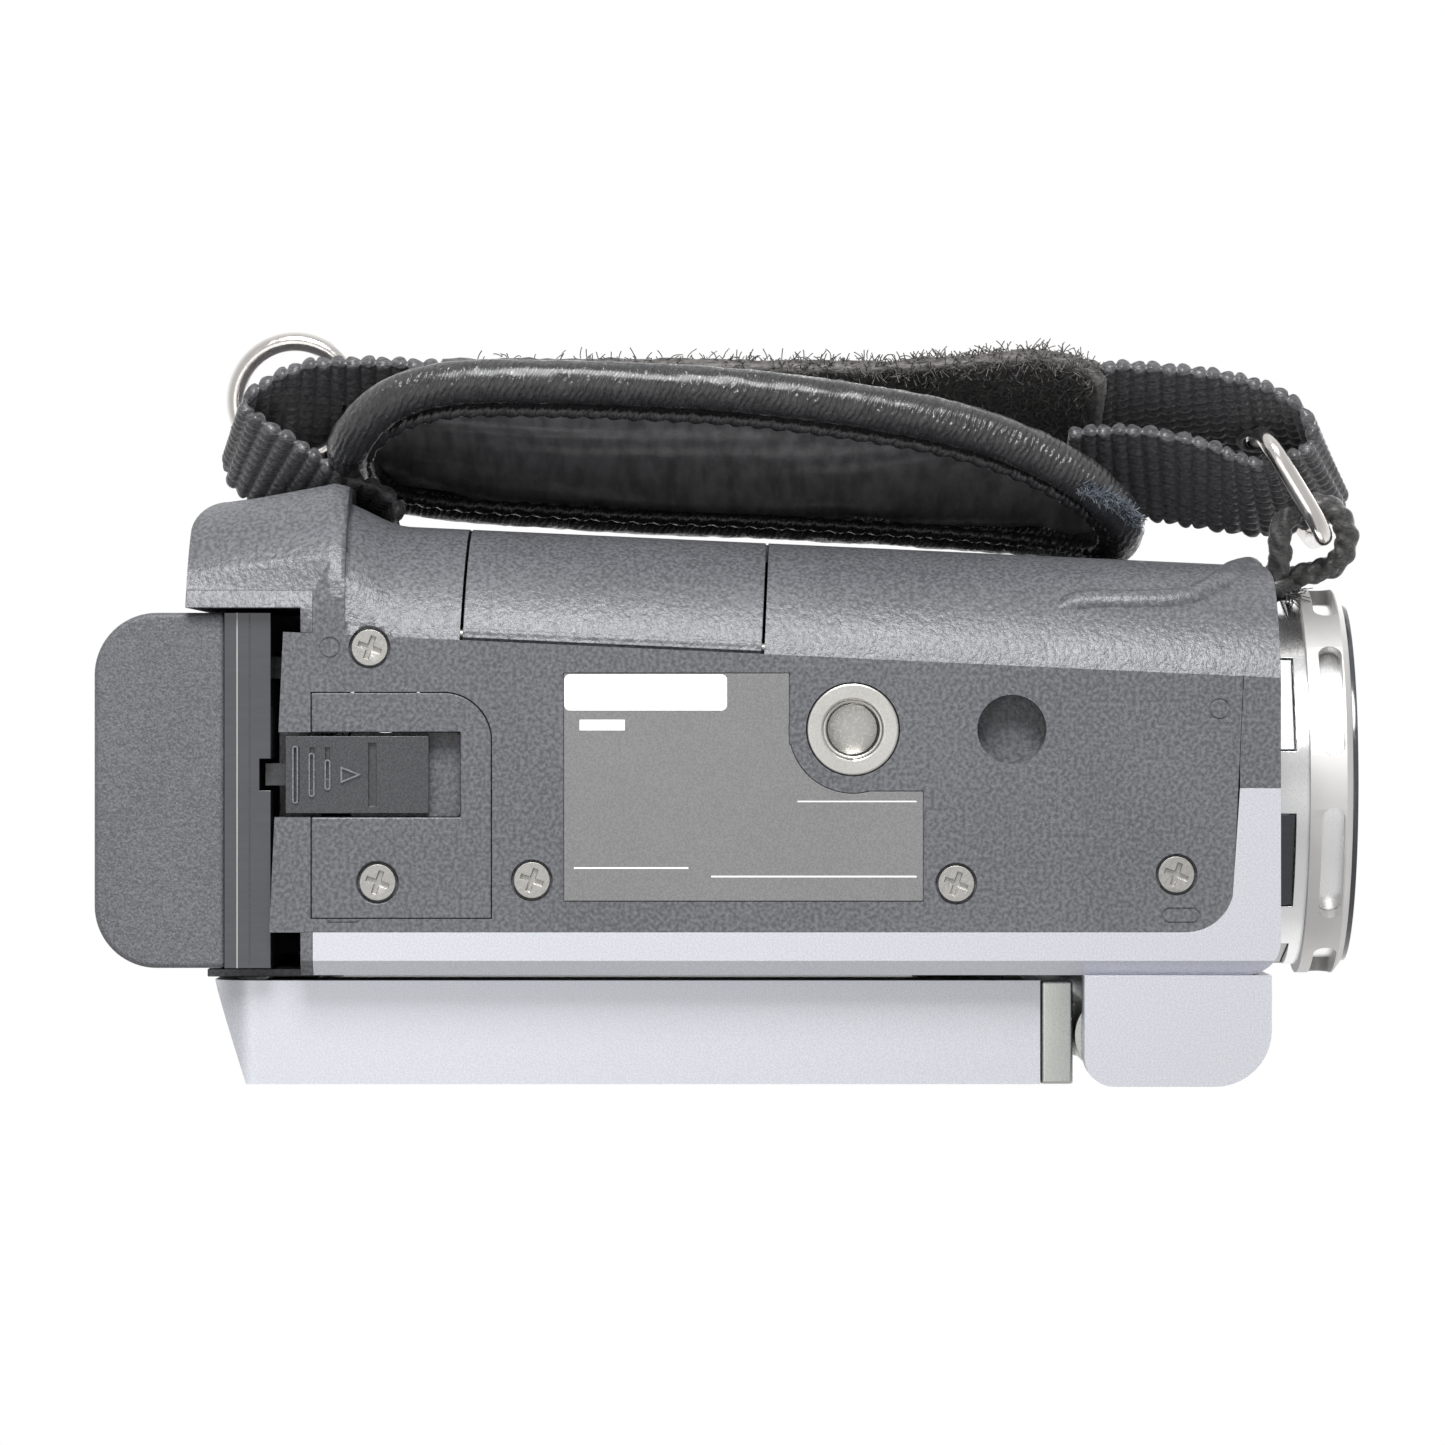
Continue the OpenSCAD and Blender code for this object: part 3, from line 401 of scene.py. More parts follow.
materials = {
    "dark": moulded_plastic("dark_plastic", DARK, 0.37),
    "battery": moulded_plastic("battery_plastic", shade(DARK, 1.02), 0.46, 0.32 * MM),
    "silver": silver_paint("silver_paint", SILVER),
    "top": silver_paint("top_paint", SILVER),
    "black": moulded_plastic("black_plastic", shade(DARK, 0.3), 0.4, 0.3 * MM, 0.02 * MM),
    "lever": moulded_plastic("lever_plastic", shade(DARK, 0.42), 0.28, 0.3 * MM, 0.015 * MM),
    # Lighter plastic for the lever's raised ribs and arrow: a painted highlight on their edges
    "painted_highlight_rib": moulded_plastic("painted_highlight_rib_plastic", shade(DARK, 1.5), 0.3, 0.3 * MM, 0.01 * MM),
    "smooth": moulded_plastic("smooth_plastic", shade(DARK, 0.7), 0.3, 0.25 * MM, 0.008 * MM),
    "gloss": gloss("gloss_black", (0.03, 0.032, 0.038), 0.16),
    "ring": machined_metal("ring_metal", (0.66, 0.65, 0.64), 0.56, "y"),
    "collar": machined_metal("collar_metal", (0.9, 0.9, 0.9), 0.22, "y"),
    "liner": machined_metal("liner_metal", (0.95, 0.95, 0.95), 0.25, "y"),
    "zinc": machined_metal("zinc", (0.62, 0.61, 0.58), 0.3, "z"),
    "steel": machined_metal("steel", (0.40, 0.39, 0.37), 0.44, None, 0.35 * MM, 0.05 * MM),
    "nickel": machined_metal("nickel", (0.8, 0.77, 0.74), 0.14, None, 0.7 * MM, 0.02 * MM),
    "cap": machined_metal("cap_metal", (0.56, 0.57, 0.545), 0.26, "z"),
    "button": silver_paint("button_paint", (0.5, 0.51, 0.53), 0.3),
    "glass": optical_glass("optical_glass", (0.85, 0.88, 0.95)),
    "screen": gloss("screen_glass", (0.01, 0.011, 0.014), 0.05, 1.0),
    "board": moulded_plastic("circuit_board", (0.03, 0.17, 0.08), 0.35, 0.5 * MM),
    "lamp": gloss("lamp_lens", (0.08, 0.4, 0.12), 0.1),
    "label": moulded_plastic("label_film", (0.175, 0.173, 0.175), 0.42, 0.3 * MM, 0.02 * MM, 0.12),
    # Pale ink for the battery's seam line only: a painted highlight on the seam
    "painted_seam_highlight": printed("painted_seam_highlight", (0.42, 0.41, 0.4)),
    "ink": printed("pale_ink", (0.88, 0.88, 0.87)),
    "cells": gloss("cell_sleeve", (0.25, 0.32, 0.45), 0.25),
    "gold": machined_metal("gold_plate", (0.75, 0.55, 0.22), 0.25),
    "leather": leather("leather", (0.02, 0.02, 0.0215), 0.3, 0.95 * MM, 0.3 * MM, 0.1 * MM),
    # Paler leather for the pad's hand side: partly the panel's own finish, partly painted light that
    # lifts the shade on that side
    "panel": leather("panel_leather_painted_light", (0.17, 0.165, 0.175), 0.5, 2.5 * MM, 0.05 * MM),
    "webbing": nylon("webbing_yarn", (0.075, 0.075, 0.08), 0.32),
    "fuzz": nylon("loop_pile", (0.085, 0.08, 0.077), 0.6, 0.3 * MM),
    "cord": nylon("cord_yarn", (0.05, 0.049, 0.048), 0.4),
    "fray": nylon("frayed_thread", (0.10, 0.12, 0.15), 0.6),
}

LOOK = {
    "dark": ["base_cover", "base_corner_plate", "grip_shell", "front_bezel", "rear_panel",
             "jack_cover", "lcd_inner_bezel"],
    "battery": ["battery_case"],
    "silver": ["display_side_shell", "lcd_outer_shell", "zoom_lever"],
    "top": ["top_cover"],
    "black": ["jack_sockets", "lens_tube", "terminal_block", "speaker", "memory_card",
              "upper_blade", "lower_blade"],
    "lever": ["release_lever"],
    "leather": ["strap_pad"],
    "fuzz": ["strap_hook_strip"],
    "webbing": ["strap_rear_webbing", "strap_front_webbing"],
    "cord": ["cord_loop"],
    "gloss": ["battery_base", "collar_windows", "front_rim"],
    "ring": ["lens_ring"],
    "collar": ["lens_collar"],
    "liner": ["ring_liner"],
    "zinc": ["tripod_socket"],
    "steel": ["base_screws", "jack_hinge_pin", "guide_rods", "hinge_pins", "strap_anchor_bar",
              "chassis_frame"],
    "nickel": ["rear_ring", "front_link"],
    "cap": ["lcd_end_cap", "lcd_hinge_bracket", "microphones", "lcd_module"],
    "button": ["photo_button", "start_stop_button", "lens_cover_switch", "power_button",
               "view_button"],
    "glass": ["front_element", "zoom_lens", "focus_lens"],
    "screen": ["lcd_screen", "image_sensor"],
    "board": ["main_board", "sensor_board"],
    "lamp": ["status_lamps"],
    "label": ["rating_label"],
    "cells": ["battery_cells"],
    "gold": ["battery_contacts"],
}
LOOK_OF = {name: look for look, names in LOOK.items() for name in names}


def give(obj, look):
    obj.data.materials.clear()
    obj.data.materials.append(materials[look])


for name, look in LOOK_OF.items():
    give(nodes[name], look)


# ---------------------------------------------------------------- mesh helpers

def put(name, mesh, look, body, replaces=()):
    """Links a finished mesh as a piece that rides with a CAD body."""
    piece = linked(name, mesh)
    give(piece, look)
    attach(piece, body)
    if replaces:
        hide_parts(*replaces)
    return piece


def mesh_from(name, points, faces, smooth=True):
    """A mesh from points in millimetres."""
    mesh = bpy.data.meshes.new(name)
    mesh.from_pydata([tuple(Vector(p) * MM) for p in points], [], faces)
    if smooth:
        mesh.polygons.foreach_set("use_smooth", [True] * len(mesh.polygons))
    mesh.update()
    return mesh


def curve_through(points, steps, closed=False):
    """Catmull-Rom curve through the points, with steps pieces between each two."""
    pts = [Vector(p) for p in points]
    count = len(pts)
    out = []
    for i in range(count if closed else count - 1):
        if closed:
            a, b, c, d = (pts[(i + k - 1) % count] for k in range(4))
        else:
            a, b, c, d = (pts[min(max(i + k - 1, 0), count - 1)] for k in range(4))
        for k in range(steps):
            t = k / steps
            out.append(0.5 * (2 * b + (c - a) * t + (2 * a - 5 * b + 4 * c - d) * t * t
                              + (3 * b - a - 3 * c + d) * t ** 3))
    if not closed:
        out.append(pts[-1])
    return out


def distances(path):
    """How far along the path each of its points lies."""
    marks = [0.0]
    for a, b in zip(path, path[1:]):
        marks.append(marks[-1] + (b - a).length)
    return marks


def even_places(marks, count):
    """Cuts a path with these distances into count equal steps: (segment, share of it)."""
    at = 0
    for i in range(count + 1):
        want = marks[-1] * i / count
        while at < len(marks) - 2 and marks[at + 1] < want:
            at += 1
        span = marks[at + 1] - marks[at] or 1.0
        yield at, min(1.0, (want - marks[at]) / span)


def resample(path, step, closed=False):
    """The same path with points step apart."""
    pts = path + [path[0]] if closed else path
    marks = distances(pts)
    places = even_places(marks, max(2, round(marks[-1] / step)))
    out = [pts[at].lerp(pts[at + 1], share) for at, share in places]
    return out[:-1] if closed else out


def beside(line, i):
    """The points just before and after the i-th one, as far as the line has them."""
    return line[max(i - 1, 0)], line[min(i + 1, len(line) - 1)]


def tube_mesh(name, path, radius, sides=12, closed=False):
    """A tube of radius(distance, angle) round a path; all in millimetres."""
    points, faces = [], []
    count = len(path)
    side = None
    walked = 0.0
    for i, p in enumerate(path):
        before = path[i - 1] if closed or i else path[i]
        after = path[(i + 1) % count] if closed or i < count - 1 else path[i]
        along = (after - before).normalized()
        if side is None:
            side = along.cross(Vector((0, 0, 1)))
            if side.length < 0.1:
                side = along.cross(Vector((1, 0, 0)))
        side = (side - along * side.dot(along)).normalized()
        up = along.cross(side)
        if i:
            walked += (p - path[i - 1]).length
        for k in range(sides):
            angle = 2 * math.pi * k / sides
            points.append(p + (side * math.cos(angle) + up * math.sin(angle))
                          * radius(walked, angle))
    for i in range(count if closed else count - 1):
        for k in range(sides):
            j, m = (i + 1) % count, (k + 1) % sides
            faces.append((i * sides + k, i * sides + m, j * sides + m, j * sides + k))
    if not closed:
        faces.append(tuple(range(sides)))
        faces.append(tuple((count - 1) * sides + k for k in reversed(range(sides))))
    return mesh_from(name, points, faces)


def plate_mesh(name, outline, z0, z1):
    """A flat plate from an outline in plan, with its walls."""
    count = len(outline)
    points = [(x, y, z) for z in (z0, z1) for x, y in outline]
    faces = [tuple(reversed(range(count))), tuple(range(count, 2 * count))]
    faces += [(i, (i + 1) % count, count + (i + 1) % count, count + i) for i in range(count)]
    return mesh_from(name, points, faces, smooth=False)


def frame_mesh(name, outer, inner, z0, z1):
    """A flat ring between two outlines with the same number of points."""
    count = len(outer)
    points = [(x, y, z) for z in (z0, z1) for line in (outer, inner) for x, y in line]
    faces = []
    for i in range(count):
        j = (i + 1) % count
        o0, o1, i0, i1 = i, j, count + i, count + j
        up = 2 * count
        faces += [(o0, o1, i1, i0), (up + o0, up + i0, up + i1, up + o1),
                  (o0, up + o0, up + o1, o1), (i0, i1, up + i1, up + i0)]
    return mesh_from(name, points, faces, smooth=False)


def rounded_outline(x0, x1, y0, y1, r, steps=6):
    """Points of a rectangle in plan with rounded corners."""
    corners = [(x1 - r, y1 - r, 0), (x0 + r, y1 - r, 90), (x0 + r, y0 + r, 180), (x1 - r, y0 + r, 270)]
    return [(x + r * math.cos(math.radians(start + 90 * k / steps)),
             y + r * math.sin(math.radians(start + 90 * k / steps)))
            for x, y, start in corners for k in range(steps + 1)]


def smoothstep(t):
    """From 0 to 1 as t goes from 0 to 1, with soft ends."""
    t = min(max(t, 0.0), 1.0)
    return t * t * (3 - 2 * t)


def bevel(piece, width, segments, angle):
    """Rounds the edges that are sharper than the angle."""
    edges = piece.modifiers.new("edges", "BEVEL")
    edges.width = width * MM
    edges.segments = segments
    edges.limit_method = "ANGLE"
    edges.angle_limit = math.radians(angle)
    edges.use_clamp_overlap = True
    piece.modifiers.new("normals", "WEIGHTED_NORMAL").keep_sharp = True


# ---------------------------------------------------------------- casings with rounded edges

GRIP_SLANT = math.radians(2.64)
CREASE_X = -6.28
HUMP_START = 46.4
HUMP_FOOT = 39.6
HUMP_STEP = -2.06
HUMP_BLEND = 4.0
HUMP_CUTS = [HUMP_FOOT + 0.8 * k for k in range(9)] + [HUMP_START - 0.1]
POST_AXIS = (-13.8, -35.7)
POST_LOW, POST_HIGH, POST_REACH = 20.9, 31.1, 2.4
POST_SHRINK = 0.45


def shape_grip(bm):
    """Blends the hump into the side in an S, and draws the cord post in under the ear."""
    for y in HUMP_CUTS:
        bmesh.ops.bisect_plane(bm, geom=bm.verts[:] + bm.edges[:] + bm.faces[:],
                               plane_co=(0, y * MM, 0), plane_no=(0, 1, 0), dist=0.0005 * MM)
    for v in bm.verts:
        x, y, z = v.co / MM
        crease = CREASE_X - y * math.tan(GRIP_SLANT)
        inward = smoothstep((crease - x) / HUMP_BLEND)
        if y < HUMP_START - 0.05:
            v.co.x += HUMP_STEP * smoothstep((y - HUMP_FOOT) / (HUMP_START - HUMP_FOOT)) * inward * MM
        out = Vector((x - POST_AXIS[0], y - POST_AXIS[1]))
        if POST_LOW < z < POST_HIGH and out.length < POST_REACH:
            v.co.x = (POST_AXIS[0] + out.x * POST_SHRINK) * MM
            v.co.y = (POST_AXIS[1] + out.y * POST_SHRINK) * MM


def softened(node, width, segments=3, angle=32, shape=None):
    """A copy of a CAD node with its edges rounded, shown in its place."""
    mesh = nodes[node].data.copy()
    bm = bmesh.new()
    bm.from_mesh(mesh)
    bmesh.ops.remove_doubles(bm, verts=bm.verts, dist=0.002 * MM)
    if shape:
        shape(bm)
    else:
        bmesh.ops.dissolve_limit(bm, angle_limit=math.radians(0.6), verts=bm.verts, edges=bm.edges)
    for face in bm.faces:
        face.smooth = True
    bm.to_mesh(mesh)
    bm.free()
    piece = put(node + "_finish", mesh, LOOK_OF[node], nodes[node]["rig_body"], [node])
    bevel(piece, width, segments, angle)
    return piece


EDGES = {
    "battery_case": 0.5, "lcd_outer_shell": 0.5, "jack_cover": 0.14, "release_lever": 0.2,
    "lens_ring": 0.3, "base_screws": 0.1, "tripod_socket": 0.25, "lcd_end_cap": 0.3,
    "battery_base": 0.35, "zoom_lever": 0.3, "photo_button": 0.3, "start_stop_button": 0.3,
    "lens_cover_switch": 0.25, "front_rim": 0.2, "base_cover": 0.14, "base_corner_plate": 0.14,
    "display_side_shell": 0.3, "top_cover": 0.35, "front_bezel": 0.25, "rear_panel": 0.2,
    "lens_collar": 0.15, "collar_windows": 0.15, "memory_card": 0.15, "lcd_inner_bezel": 0.2,
    "power_button": 0.2, "view_button": 0.2, "rating_label": 0.05,
}
for node, width in EDGES.items():
    softened(node, width)
softened("grip_shell", 0.2, 2, 40, shape_grip)


# ---------------------------------------------------------------- details of the base

LABEL_FACE = box_mm("rating_label")[0][2]
# Each printed mark: x from and to, y from and to, corner radius, steps in a corner
LABEL_MARKS = {
    "label_box": (-4.85, -1.65, 11.1, 25.45, 0.5, 6),
    "label_bar": (-0.85, 0.1, 20.1, 24.1, 0.05, 6),
    "label_rule_0": (12.15, 12.3, 14.5, 24.6, 0.04, 2),
    "label_rule_1": (12.9, 13.05, -5.6, 12.5, 0.04, 2),
    "label_rule_2": (6.3, 6.42, -5.6, 4.9, 0.04, 2),
}


def label_print():
    """A blank pale box, a bar and thin rules: the places where a maker's print would be."""
    low, high = LABEL_FACE - 0.03, LABEL_FACE + 0.02
    for name, mark in LABEL_MARKS.items():
        put(name, plate_mesh(name, rounded_outline(*mark), low, high), "ink", "camera")


LEVER_X = (box_mm("release_lever")[0][0] + box_mm("release_lever")[1][0]) / 2
LEVER_RIBS = [(49.15, 2.55), (47.7, 1.95), (46.3, 1.35)]
RIB_HALF, RIB_LINE = 0.26, 0.12
ARROW_OUTER = [(LEVER_X - 0.75, 45.15), (LEVER_X + 0.75, 45.15), (LEVER_X, 43.35)]
ARROW_INNER = [(LEVER_X - 0.52, 45.0), (LEVER_X + 0.52, 45.0), (LEVER_X, 43.7)]
RECESS_HALF = 3.7


def lever_mark(name, outer, inner):
    """One raised outline on the release lever's face, painted lighter as a painted highlight on its
    raised edges.
    """
    put(name, frame_mesh(name, outer, inner, -0.02, 0.22), "painted_highlight_rib", "release_lever")


def lever_marks():
    """Three raised loops that shorten towards the arrow, and the arrow itself."""
    for i, (y, half) in enumerate(LEVER_RIBS):
        left, right, slim = LEVER_X - half, LEVER_X + half, RIB_HALF - RIB_LINE
        outer = rounded_outline(left, right, y - RIB_HALF, y + RIB_HALF, 0.25)
        inner = rounded_outline(left + RIB_LINE, right - RIB_LINE, y - slim, y + slim, 0.13)
        lever_mark(f"painted_highlight_rib_{i}", outer, inner)
    lever_mark("lever_arrow", ARROW_OUTER, ARROW_INNER)


SOCKET = mounts["tripod_socket"]["dims"]
THREAD_PITCH = 1.27
THREAD_ROOT = SOCKET["r_mm"] + 0.02
THREAD_CREST = THREAD_ROOT - 0.4
THREAD_START, RIDGE_HALF = 0.25, 0.45


def socket_thread():
    """The tripod thread as a helical ridge inside the insert."""
    turns, steps = int(SOCKET["length_mm"] / THREAD_PITCH), 40
    points, faces = [], []
    for i in range(turns * steps + 1):
        a = 2 * math.pi * i / steps
        z = THREAD_START + THREAD_PITCH * i / steps
        for r, dz in ((THREAD_ROOT, -RIDGE_HALF), (THREAD_CREST, 0.0), (THREAD_ROOT, RIDGE_HALF)):
            points.append((r * math.cos(a), r * math.sin(a), z + dz))
    for i in range(turns * steps):
        for k in range(3):
            m = (k + 1) % 3
            faces.append((3 * i + k, 3 * i + m, 3 * i + 3 + m, 3 * i + 3 + k))
    put("socket_thread", mesh_from("socket_thread", points, faces), "zinc", "camera")


# Each line across the battery's base: its place along the base, its width, its look. The pale line is a
# painted highlight on the seam, the dark line painted shade in the groove
BATTERY_LINES = {
    "battery_seam_painted_highlight": (2.92, 0.1, "painted_seam_highlight"),
    "battery_groove_painted_shade": (1.8, 0.14, "lever"),
}


def battery_lines():
    """The welded lines between the battery's mouldings: one pale, a painted highlight on the seam, and
    one dark, painted shade in the groove.
    """
    (x0, y0, z0), (x1, _, _) = box_mm("battery_base")
    for name, (place, wide, look) in BATTERY_LINES.items():
        outline = rounded_outline(x0 - 0.01, x1 + 0.01, y0 + place, y0 + place + wide, 0.04, 2)
        put(name, plate_mesh(name, outline, z0 - 0.025, z0 + 0.1), look, "battery")


LIP_SINK = 0.72
LIP_THIN, LIP_GROWTH, EAR_GROWTH = 0.4, 0.95, 0.15
LIP_RISE, EAR_START, EAR_RISE, LIP_FADE = 3.5, 15, 6, 1.2
# Plan points of the lip on the shell, then its way up the front corner
LEDGE_LINE = [(-10.3, -17.0), (-10.9, -18.2), (-11.4, -19.8), (-11.6, -22), (-11.6, -25),
              (-11.7, -28), (-12.0, -30.2), (-12.7, -31.8), (-13.4, -33.0)]
EAR_LINE = [(-13.7, -34.6, 13), (-14.1, -36.0, 17), (-14.2, -36.4, 22), (-14.2, -36.4, 32)]


def finger_ledge():
    """The moulded rest under the fingertips: a rounded lip that sweeps up into the cord ear."""
    mesh = nodes["grip_shell"].data
    shell = BVHTree.FromPolygons([v.co for v in mesh.vertices], [f.vertices for f in mesh.polygons])
    path = []
    for x, y in LEDGE_LINE:
        place, normal, _, _ = shell.ray_cast(Vector((x, y, -20)) * MM, Vector((0, 0, 1)))
        if place:
            path.append(place / MM - normal * LIP_SINK)
    path += [Vector(p) for p in EAR_LINE]
    walk = resample(curve_through(path, 10), 0.4)
    length = distances(walk)[-1]

    def lip(distance, angle):
        start = smoothstep(distance / LIP_RISE)
        ear = smoothstep((distance - EAR_START) / EAR_RISE)
        end = smoothstep((length - distance) / LIP_FADE)
        return (LIP_THIN + LIP_GROWTH * start + EAR_GROWTH * ear) * (0.3 + 0.7 * end)

    put("finger_ledge", tube_mesh("finger_ledge", walk, lip, 24), "dark", "camera")


def recess_floor():
    """The moulded floor that the release lever slides over."""
    outline = rounded_outline(LEVER_X - RECESS_HALF, LEVER_X + RECESS_HALF, 34.7, 44.4, 0.3)
    put("recess_floor", plate_mesh("recess_floor", outline, 2.0, 2.2), "dark", "camera")


finger_ledge()
recess_floor()
label_print()
lever_marks()
socket_thread()
battery_lines()


# ---------------------------------------------------------------- hand strap

WEAVE_CELLS = 11
RIB_ROWS = 6
RIB_PITCH = 1.47
RIB_FULLNESS = 0.55
SELVEDGE = 0.16
KNOT_HEIGHT, KNOT_VALLEY, KNOT_SINK = 0.5, 0.12, 0.45
KNOT_SLANT = 0.35
WIRE_ROOM = 1.06
WIRE_HOLE = 0.62 * WIRE_ROOM


def band_faces(rows, across):
    """Faces of a closed band: front and back grids row by row, two edges, two ends."""
    line = across + 1
    faces = []
    for i in range(rows - 1):
        base, step = 2 * line * i, 2 * line
        for k in range(across):
            faces.append((base + k, base + k + 1, base + step + k + 1, base + step + k))
            low = base + line
            faces.append((low + k + 1, low + k, low + step + k, low + step + k + 1))
        faces.append((base + line, base, base + step, base + step + line))
        faces.append((base + across, base + line + across, base + step + line + across,
                      base + step + across))
    for i in (0, rows - 1):
        base = 2 * line * i
        loop = [base + k for k in range(line)] + [base + line + k for k in reversed(range(line))]
        faces.append(tuple(loop if i else reversed(loop)))
    return faces


def woven_band(name, near, far, thick, wires):
    """Webbing between two edge curves: ribs of knots, every other rib shifted by half a knot."""
    across = WEAVE_CELLS * 5
    middle = [a + b for a, b in zip(near, far)]
    points = []
    for i, (a, b) in enumerate(zip(near, far)):
        before, after = beside(middle, i)
        out = (after - before).normalized().cross(b - a).normalized()
        rib, step = divmod(i, RIB_ROWS)
        swell = math.sin(math.pi * step / RIB_ROWS) ** RIB_FULLNESS
        edge = (b - a).normalized() * SELVEDGE * swell
        phase = 0.5 * (rib % 2) + KNOT_SLANT * step / RIB_ROWS
        for side in (1, -1):
            for k in range(across + 1):
                t = k / across
                knot = abs(math.sin(math.pi * (WEAVE_CELLS * t + phase)))
                raised = swell * (KNOT_VALLEY + (1 - KNOT_VALLEY) * knot)
                height = thick / 2 + KNOT_HEIGHT * (raised - KNOT_SINK)
                rim = edge * ((k == across) - (k == 0))
                points.append(a.lerp(b, t) + out * height * side + rim)
    faces = band_faces(len(near), across)
    return mesh_from(name, *opened(points, faces, wires))


def opened(points, faces, wires):
    """Spreads the yarn round wires that pass through or close by."""
    tree = kdtree.KDTree(len(wires))
    for i, p in enumerate(wires):
        tree.insert(p, i)
    tree.balance()
    kept = [f for f in faces
            if tree.find(sum((points[v] for v in f), Vector()) / len(f))[2] > WIRE_HOLE]
    moved = []
    for p in points:
        centre, _, gap = tree.find(p)
        if gap < WIRE_ROOM:
            p = centre + (p - centre).normalized() * WIRE_ROOM
        moved.append(p)
    return moved, kept


def edge_pair(near, far, z_near, z_far, step):
    """Two edge curves from plan points, sampled alike."""
    a = curve_through([(x, y, z_near) for x, y in near], 12)
    b = curve_through([(x, y, z_far) for x, y in far], 12)
    marks = distances([(p + q) / 2 for p, q in zip(a, b)])
    places = list(even_places(marks, max(4, round(marks[-1] / step))))
    return [[line[at].lerp(line[at + 1], share) for at, share in places] for line in (a, b)]


WEB_NEAR, WEB_FAR, WEB_THICK = 20.0, 31.0, 0.9
WIRE_RADIUS = 0.86
RING_CENTRE = pivot_mm("rear_ring_swing")
RING_RADIUS = 5.4
LINK_PIVOT = pivot_mm("front_link_swing")
LINK_TURN = math.radians(-31)
LINK_WIDE, LINK_TALL, LINK_BEND = 10.8, 15.6, 3.0


def ring_path():
    """The ring's centre line."""
    return [RING_CENTRE + RING_RADIUS * Vector((math.cos(a), math.sin(a), 0))
            for a in (2 * math.pi * k / 96 for k in range(96))]


def link_path(turn=0.0):
    """The link's centre line, turned about its pivot."""
    flat = rounded_outline(0, LINK_WIDE, -LINK_TALL / 2, LINK_TALL / 2, LINK_BEND, 8)
    c, s = math.cos(LINK_TURN + turn), math.sin(LINK_TURN + turn)
    return resample([LINK_PIVOT + Vector((u * c, u * s, v)) for u, v in flat], 0.5, True)


def wire_pieces():
    """The bent wires of the ring and the link."""
    for node, path in (("rear_ring", ring_path()), ("front_link", link_path())):
        name = node + "_wire"
        put(name, tube_mesh(name, path, lambda d, a: WIRE_RADIUS, 20, True), "nickel", node,
            [node])


def eyelet():
    """Bound hole in the webbing where the link's rod passes through it."""
    along = Vector((6.2, 0, 11.0)).normalized()
    centre = LINK_PIVOT + Vector((0.1, 0, 1.6))
    path = [centre + (Vector((0, 1, 0)) * math.cos(a) + along * 1.05 * math.sin(a)) * 1.5
            for a in (2 * math.pi * k / 40 for k in range(40))]
    put("strap_eyelet", tube_mesh("strap_eyelet", path, lambda d, a: 0.42, 10, True), "webbing",
        "camera")


def front_webbing():
    """From the hook strip out round the link's rod and back."""
    near = [(-33.0, -20), (-33.0, -23), (-33.0, -26.5), (-32.3, -33.4),
            (-31.0, -38.4), (-29.2, -41.1), (-27.0, -42.2), (-25.2, -41.1), (-24.3, -36.9),
            (-26.0, -32.4), (-27.2, -26.1), (-27.0, -20)]
    far = [(-26.2, -20), (-26.2, -23), (-26.2, -27), (-25.4, -34.8),
           (-24.2, -41.6), (-23.2, -44.6), (-21.9, -45.8), (-19.9, -45.2), (-18.4, -39.1),
           (-19.0, -33.1), (-19.9, -27.4), (-20.7, -20)]
    a, b = edge_pair(near, far, WEB_NEAR, WEB_FAR, RIB_PITCH / RIB_ROWS)
    low, high = joints["front_link_swing"]["range_deg"]
    wires = [p for turn in (low, (low + high) / 2, high) for p in link_path(math.radians(turn))]
    put("front_webbing", woven_band("front_webbing", a, b, WEB_THICK, wires), "webbing", "camera",
        ["strap_front_webbing"])


def rear_webbing():
    """From the hook strip through the ring and round to the body's slot."""
    near = [(-32.6, 30), (-33.3, 40.9), (-33.4, 45.2), (-33.2, 49.2), (-31.5, 53.2), (-29.5, 55.0),
            (-28.0, 53.4), (-25.7, 49.7), (-23.2, 46.2), (-21.9, 42.6), (-20.0, 41.0),
            (-17.2, 41.9), (-15.0, 43.0)]
    far = [(-26.4, 30), (-26.2, 41), (-26.7, 45.7), (-25.6, 50.4), (-25.4, 55.2), (-25.4, 57.2),
           (-22.6, 56.6), (-20.9, 53.6), (-20.8, 48.6), (-19.2, 45.4), (-18.2, 44.4),
           (-16.6, 44.0), (-15.0, 44.2)]
    a, b = edge_pair(near, far, WEB_NEAR, WEB_FAR, RIB_PITCH / RIB_ROWS)
    low, high = joints["rear_ring_swing"]["range_deg"]
    wires = []
    for turn in (math.radians(low), 0.0, math.radians(high)):
        for p in ring_path():
            off = p - RING_CENTRE
            wires.append(RING_CENTRE + Vector((off.x * math.cos(turn), off.y,
                                               -off.x * math.sin(turn))))
    put("rear_webbing", woven_band("rear_webbing", a, b, WEB_THICK, wires), "webbing", "camera",
        ["strap_rear_webbing"])


def scatter(rng):
    """A random step of up to half a unit each way."""
    return Vector((rng() - 0.5, rng() - 0.5, rng() - 0.5))


